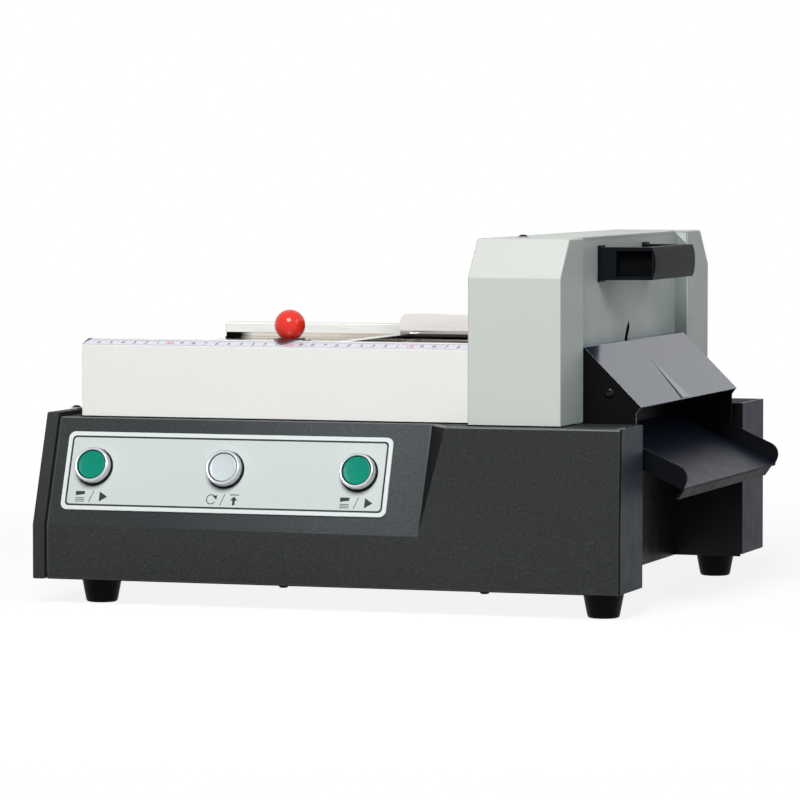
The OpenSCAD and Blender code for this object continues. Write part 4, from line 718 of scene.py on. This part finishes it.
# Push buttons: a gasket, a satin ring with a black band of painted shade inside it, and a dished cap
BUTTON_X = (-354.3, -243.7, -133.1)
BUTTON_S = 47.98
button_places = [on_panel(x, BUTTON_S) for x in BUTTON_X]
ring = [(9.05, -20), (11, -20), (11, 3.0), (14.0, 3.0), (14.35, 3.4), (14.35, 7.7), (14.25, 8.5), (13.9, 9.3),
        (13.4, 9.8), (12.9, 10), (12.5, 9.92), (12.1, 9.6), (11.88, 9.1), (11.85, 8.6), (11.85, 3.6),
        (9.05, 3.6)]
gasket = [(11.05, 1.02), (15.1, 1.02), (15.4, 1.3), (15.4, 2.5), (15.0, 2.98), (11.05, 2.98)]
inner_shade_ring = [(11.3, 6.0), (11.84, 6.0), (11.84, 7.8), (11.3, 7.8)]
turned("button_rings", "button_bezels", ring, button_places, BEZEL, 96)
with new_piece("button_gaskets_and_shade", "inner_plastic", GASKET_AND_SHADE) as bm:
    for place in button_places:
        turn(bm, gasket, place)
        turn(bm, inner_shade_ring, place)
cap = [(0, -6.4), (9, -6.4), (9, 7.7), (11.25, 7.7), (11.25, 8.2), (11.15, 8.5), (10.9, 8.8), (10.5, 8.9),
       (10.0, 8.85), (9.4, 8.7), (8, 8.55), (0, 8.4)]
for name, node, place, finish in (("left_cap_turned", "cut_button_left", button_places[0], GREEN),
                                  ("middle_cap_turned", "reset_button", button_places[1], CLEAR),
                                  ("right_cap_turned", "cut_button_right", button_places[2], GREEN)):
    turned(name, node, cap, [place], finish, 96)

# Ball knob on its stud
BALL_R = 12.3
BALL_Z = 221.15
BALL_STEPS = 40
SEAT_R = 7.5
seat = math.asin(SEAT_R / BALL_R)
angles = [seat + (math.pi - seat) * i / BALL_STEPS for i in range(BALL_STEPS)]
ball = [(0, 203.2), (4, 203.2), (4, 211.4)]
ball += [(BALL_R * math.sin(a), BALL_Z - BALL_R * math.cos(a)) for a in angles]
ball += [(0, BALL_Z + BALL_R)]
turned("ball_knob_turned", "ball_knob", ball, [upright(-206, 60, 0)], RED, 96)

# Label plate: a pale border and a dark line inside it
LABEL_X = -243.7
LABEL_S = 44.98
LABEL_T = 1.0
LABEL_W = 271.6
LABEL_H = 64.5
LABEL_CORNER = 5.5
BORDER_T = 0.04
INK_SINK = 0.02
INK_T = 0.03
label_place = on_panel(LABEL_X, LABEL_S)
outlines = [rounded(LABEL_W - 2 * inset, LABEL_H - 2 * inset, LABEL_CORNER - inset * 0.6)
            for inset in (0.3, 3.4, 4.9)]
for name, outer, inner, finish in (("label_border", outlines[0], outlines[1], BORDER),
                                   ("label_line", outlines[1], outlines[2], INK)):
    with new_piece(name, "label", finish) as bm:
        band(bm, outer, inner, label_place, LABEL_T - INK_SINK, LABEL_T + BORDER_T)

# Plain signs under the buttons: a blade over a stack and a start sign, or a turning arrow and a rise
SIGN_S = 24.0
SIGN_SHIFT = 9.5
BLADE_SIGN = [[(-3.8, 4), (3.8, 4), (3.8, 1.6), (-3.8, 0.4)]]
BLADE_SIGN += [[(-3.8, y), (3.8, y), (3.8, y - 0.6), (-3.8, y - 0.6)] for y in (-1.2, -2.6, -4)]
START_SIGN = [[(-2.6, 4), (4, -0.2), (-2.6, -4.4)]]
SLASH_SIGN = [[(1.4, 4.4), (2.0, 4.4), (-1.4, -4.8), (-2.0, -4.8)]]
TURN_STEPS = 24
TURN_OUT = arc((0, -0.2), 4.1, 40, 330, TURN_STEPS)
TURN_IN = arc((0, -0.2), 3.4, 40, 330, TURN_STEPS)
TURN_SIGN = [[TURN_OUT[i], TURN_OUT[i + 1], TURN_IN[i + 1], TURN_IN[i]] for i in range(TURN_STEPS)]
TURN_SIGN += [[(1.2, 2.6), (5.0, 3.4), (4.4, -0.6)]]
RISE_SIGN = [[(-3.8, 4.2), (3.8, 4.2), (3.8, 3.5), (-3.8, 3.5)],
             [(0, 2.6), (-3.0, -0.6), (-1.0, -0.6), (-1.0, -4.6), (1.0, -4.6), (1.0, -0.6), (3.0, -0.6)]]
SIGN_PAIRS = ((BLADE_SIGN, START_SIGN), (TURN_SIGN, RISE_SIGN), (BLADE_SIGN, START_SIGN))
with new_piece("button_signs", "label", INK) as bm:
    for x, (left, right) in zip(BUTTON_X, SIGN_PAIRS):
        for shapes, shift in ((left, -SIGN_SHIFT), (SLASH_SIGN, 0), (right, SIGN_SHIFT)):
            for shape in shapes:
                prism(bm, shape, on_panel(x + shift, SIGN_S), LABEL_T - INK_SINK, LABEL_T + INK_T)
    bmesh.ops.triangulate(bm, faces=[f for f in bm.faces if len(f.verts) > 4])

# Ruler: lines every millimetre and a figure every centimetre, from the cut line
RULER_FLAT = 1.0
RULER_SLOPE = math.atan2(RULER_HIGH.z - RULER_LOW.z, RULER_HIGH.y - RULER_LOW.y - RULER_FLAT)
RULER_X = (RULER_LOW.x + RULER_HIGH.x) / 2
FIRST_MM = 46
LAST_MM = 371
FIRST_CM = 5
LAST_CM = 36
CM_LINE = 4.2
HALF_CM_LINE = 3.2
MM_LINE = 2.2
LINE_W = 0.22
LINE_S = 12.3
FIGURE_S = 5.4
FIGURE_H = 5.0


def on_ruler(x, s):
    """Frame on the ruler's sloping face, so many millimetres up its slope."""
    slope = Matrix.Rotation(RULER_SLOPE, 4, "X")
    front = Matrix.Translation(at(x, RULER_LOW.y, RULER_LOW.z))
    return front @ slope @ Matrix.Translation((0, s / 1000, 0))


with new_piece("ruler_lines", "ruler_face", RULER_INK) as bm:
    for mm in range(FIRST_MM, LAST_MM + 1):
        length = CM_LINE if mm % 10 == 0 else HALF_CM_LINE if mm % 5 == 0 else MM_LINE
        line = rectangle(-LINE_W / 2, LINE_W / 2, -length, 0)
        prism(bm, line, on_ruler(-mm, LINE_S), -INK_SINK, INK_T)
    prism(bm, rectangle(-164, 164, -0.08, 0.08), on_ruler(RULER_X, 1.2), -INK_SINK, INK_T)
centimetres = range(FIRST_CM, LAST_CM + 1)
for name, chosen, finish in (("ruler_figures", [cm for cm in centimetres if cm % 10], RULER_INK),
                             ("ruler_tens", [cm for cm in centimetres if cm % 10 == 0], RED_INK)):
    with new_piece(name, "ruler_face", finish) as bm:
        for cm in chosen:
            shown = str(cm if cm % 10 == 0 else cm % 10)
            figures(bm, shown, FIGURE_H, on_ruler(-10 * cm, FIGURE_S), 2 * INK_T)

# Pale rear margin and grey end of the ruler
with new_piece("ruler_margin", "ruler_face", TABLE) as bm:
    prism(bm, rectangle(-162, 162, 12.4, 14.9), on_ruler(RULER_X + 2, 0), -INK_SINK, 0.02)
with new_piece("ruler_end", "ruler_face", CARRIER) as bm:
    prism(bm, [(0.1, 0.4), (4.2, 14.6), (0.1, 14.6)], on_ruler(RULER_LOW.x, 0), -INK_SINK, 0.035)

# Painted shade: dark strips as shadow lines under the table, the head and the front cover
SHADOW_LINE_PROUD = 0.2
TABLE_SHADOW_Y = 60
HEAD_SHADOW_Y = 53
SHADOW_LINE_Z = (COVER_HIGH.z, COVER_HIGH.z + 1.1)
HEM_SHADOW_Z = (COVER_LOW.z + 0.04, COVER_LOW.z + 1.2)
table_shadow_line = rectangle(TABLE_LOW.x - SHADOW_LINE_PROUD, TABLE_HIGH.x, TABLE_LOW.y - SHADOW_LINE_PROUD, TABLE_SHADOW_Y)
head_shadow_line = rectangle(CHEEK_LOW.x - SHADOW_LINE_PROUD, CHEEK_HIGH.x + SHADOW_LINE_PROUD, CHEEK_LOW.y - SHADOW_LINE_PROUD,
                      HEAD_SHADOW_Y)
cover_shadow_line = rectangle(COVER_LOW.x + 0.1, COVER_HIGH.x - 0.5, 0.04, 1.2)
for name, outline, span in (("table_shadow_line", table_shadow_line, SHADOW_LINE_Z), ("head_shadow_line", head_shadow_line, SHADOW_LINE_Z),
                            ("cover_shadow_line", cover_shadow_line, HEM_SHADOW_Z)):
    with new_piece(name, "inner_plastic", GASKET_AND_SHADE) as bm:
        prism(bm, outline, upright(0, 0, 0), *span)

# Painted shade: a black strip in the seam between the front cover and the flank
SEAM_Y = (0.9, 5.4)
SEAM_FOOT_Z = COVER_LOW.z + 0.3
SEAM_TOP_Z = COVER_HIGH.z - 0.6
sideways = Matrix(((0, 0, 1, 0), (1, 0, 0, 0), (0, 1, 0, 0), (0, 0, 0, 1)))
seam = [(SEAM_Y[0], SEAM_FOOT_Z), (SEAM_Y[1], SEAM_FOOT_Z), (SEAM_Y[1], CREASE_Z),
        (SEAM_Y[1] + BLOCK_LEAN, SEAM_TOP_Z), (SEAM_Y[0] + BLOCK_LEAN, SEAM_TOP_Z), (SEAM_Y[0], CREASE_Z)]
with new_piece("seam_strip", "inner_plastic", SHADE_BLACK) as bm:
    prism(bm, seam, upright(0, 0, 0) @ sideways, COVER_HIGH.x - 0.4, COVER_HIGH.x + 0.06)

# Flap beside the slit in the hood, raised most at its near corner, with a lighter, partly metallic finish as
# a painted sheen
flap = [(-43.0, 15.9), (-1.0, 0.9), (-1.0, 27.0)]
FLAP_RISE = (0.03, 0.9, 0.05)
FLAP_SINK = 0.05
slope = Matrix.Translation(at(HOOD_HIGH.x, SLIT_Y, HOOD_LIP_Z)) @ Matrix.Rotation(math.pi / 4, 4, "Y")
with new_piece("hood_flap", SLOT_OF["chute_hood"], FLAP_SHEEN) as bm:
    low = [bm.verts.new(slope @ (Vector((x, y, -FLAP_SINK)) / 1000)) for x, y in flap]
    high = [bm.verts.new(slope @ (Vector((x, y, z)) / 1000)) for (x, y), z in zip(flap, FLAP_RISE)]
    bm.faces.new(low)
    bm.faces.new(high)
    for i in range(len(flap)):
        j = (i + 1) % len(flap)
        bm.faces.new((low[i], low[j], high[j], high[i]))

# Painted light: a patch of the head's lit paint over the painted shade, at the top of the rear cheek's inner
# side
facet = [(19.7, 289.6), (29.2, 289.6), (29.2, 280.6)]
with new_piece("cheek_painted_light", SLOT_OF["head_rear_cover"], HEAD) as bm:
    prism(bm, facet, upright(0, REAR_CHEEK_Y, 0) @ forth, -INK_SINK, INK_T)

# Marks of the power rocker: a bar and a ring
ROCKER_AT = (-250, 457, 70)
ROCKER_TILT = math.radians(-8)
MARK_Z = (3.2, 3.4)
RING_AT = (0, -5.2)
rocker = upright(*ROCKER_AT) @ Matrix.Rotation(ROCKER_TILT, 4, "X") @ back
with new_piece("rocker_marks", "inner_plastic", MARK, "rocker") as bm:
    prism(bm, rectangle(-0.4, 0.4, 3.4, 7), rocker, *MARK_Z)
    band(bm, arc(RING_AT, 2.0, 0, 345, 23), arc(RING_AT, 1.4, 0, 345, 23), rocker, *MARK_Z)

# Studio: a white surround, a pale floor and soft lamps


def seen_directly(tree):
    """1 for camera, mirror and see-through rays, 0 for the light that falls on the part."""
    path = tree.nodes.new("ShaderNodeLightPath").outputs
    seen = path["Is Camera Ray"]
    for ray in ("Is Glossy Ray", "Is Transmission Ray"):
        larger = tree.nodes.new("ShaderNodeMath")
        larger.operation = "MAXIMUM"
        tree.links.new(seen, larger.inputs[0])
        tree.links.new(path[ray], larger.inputs[1])
        seen = larger.outputs[0]
    return seen


def source(tree, kind, **sockets):
    """A plain shader of a kind, with values on its sockets."""
    node = tree.nodes.new("ShaderNode" + kind)
    for socket, value in sockets.items():
        node.inputs[socket].default_value = value
    return node.outputs[0]


def joined(tree, kind, *inputs):
    """A shader of a kind that takes these inputs in order."""
    node = tree.nodes.new("ShaderNode" + kind)
    for socket, made in zip(node.inputs, inputs):
        tree.links.new(made, socket)
    return node.outputs[0]


def away(tree, start, end):
    """0 to 1 between two distances from the part, in metres."""
    place = tree.nodes.new("ShaderNodeTexCoord")
    reach = tree.nodes.new("ShaderNodeVectorMath")
    reach.operation = "LENGTH"
    tree.links.new(place.outputs["Object"], reach.inputs[0])
    node = tree.nodes.new("ShaderNodeMapRange")
    node.interpolation_type = "SMOOTHSTEP"
    node.inputs["From Min"].default_value = start
    node.inputs["From Max"].default_value = end
    tree.links.new(reach.outputs["Value"], node.inputs["Value"])
    return node.outputs["Result"]


world = bpy.data.worlds.new("studio")
bpy.context.scene.world = world
world.use_nodes = True
tree = world.node_tree
tree.nodes.remove(tree.nodes["Background"])
fill = source(tree, "Background", Color=(0.82, 0.96, 1.0, 1), Strength=0.13)
white = source(tree, "Background", Color=(1, 1, 1, 1), Strength=1.0)
surround = joined(tree, "MixShader", seen_directly(tree), fill, white)
tree.links.new(surround, tree.nodes["World Output"].inputs["Surface"])

# The floor turns plain white away from the part, like the surround
bpy.ops.mesh.primitive_plane_add(size=40)
floor = bpy.context.object
floor.name = "floor"
floor_material = bpy.data.materials.new("pale_floor")
floor_material.use_nodes = True
floor.data.materials.append(floor_material)
tree = floor_material.node_tree
tree.nodes.remove(tree.nodes["Principled BSDF"])
bounce = source(tree, "BsdfDiffuse", Color=(0.24, 0.24, 0.25, 1))
matt = source(tree, "BsdfDiffuse", Color=(0.16, 0.16, 0.16, 1))
near = joined(tree, "AddShader", source(tree, "Emission", Strength=0.86), matt)
far = source(tree, "Emission", Strength=1.0)
ground = joined(tree, "MixShader", away(tree, 0.5, 1.2), near, far)
shown = joined(tree, "MixShader", seen_directly(tree), bounce, ground)
tree.links.new(shown, tree.nodes["Material Output"].inputs["Surface"])


def lamp(name, place, target, size, power, colour):
    """A soft square lamp that faces a target."""
    data = bpy.data.lights.new(name, "AREA")
    data.size = size
    data.energy = power
    data.color = colour
    made = bpy.data.objects.new(name, data)
    bpy.context.scene.collection.objects.link(made)
    made.location = place
    made.rotation_euler = (Vector(target) - Vector(place)).to_track_quat("-Z", "Y").to_euler()


lamp("key", (0.3, -2.8, 2.52), (0, 0, 0.15), 1.6, 138, (1.0, 0.99, 0.97))
lamp("side", (2.3, -0.5, 1.3), (0, 0, 0.2), 1.2, 9.5, (0.82, 0.97, 1.0))

# Camera at the photograph's angle, for a square picture
FOCAL_PX = 4698.5
PICTURE_PX = 800
YAW = 0.318
PITCH = 0.0549
CAMERA_AT = (1036.5, -3436.7, 365.7)
camera = bpy.data.objects.new("camera", bpy.data.cameras.new("camera"))
bpy.context.scene.collection.objects.link(camera)
camera.data.sensor_width = 36.0
camera.data.lens = camera.data.sensor_width * FOCAL_PX / PICTURE_PX
camera.data.clip_end = 100
ahead = Vector((-math.sin(YAW) * math.cos(PITCH), math.cos(YAW) * math.cos(PITCH), -math.sin(PITCH)))
right = Vector((math.cos(YAW), math.sin(YAW), 0))
axes = Matrix((right, right.cross(ahead), -ahead)).transposed()
camera.matrix_world = Matrix.Translation(at(*CAMERA_AT)) @ axes.to_4x4()
bpy.context.scene.camera = camera
bpy.context.scene.view_settings.view_transform = "Standard"
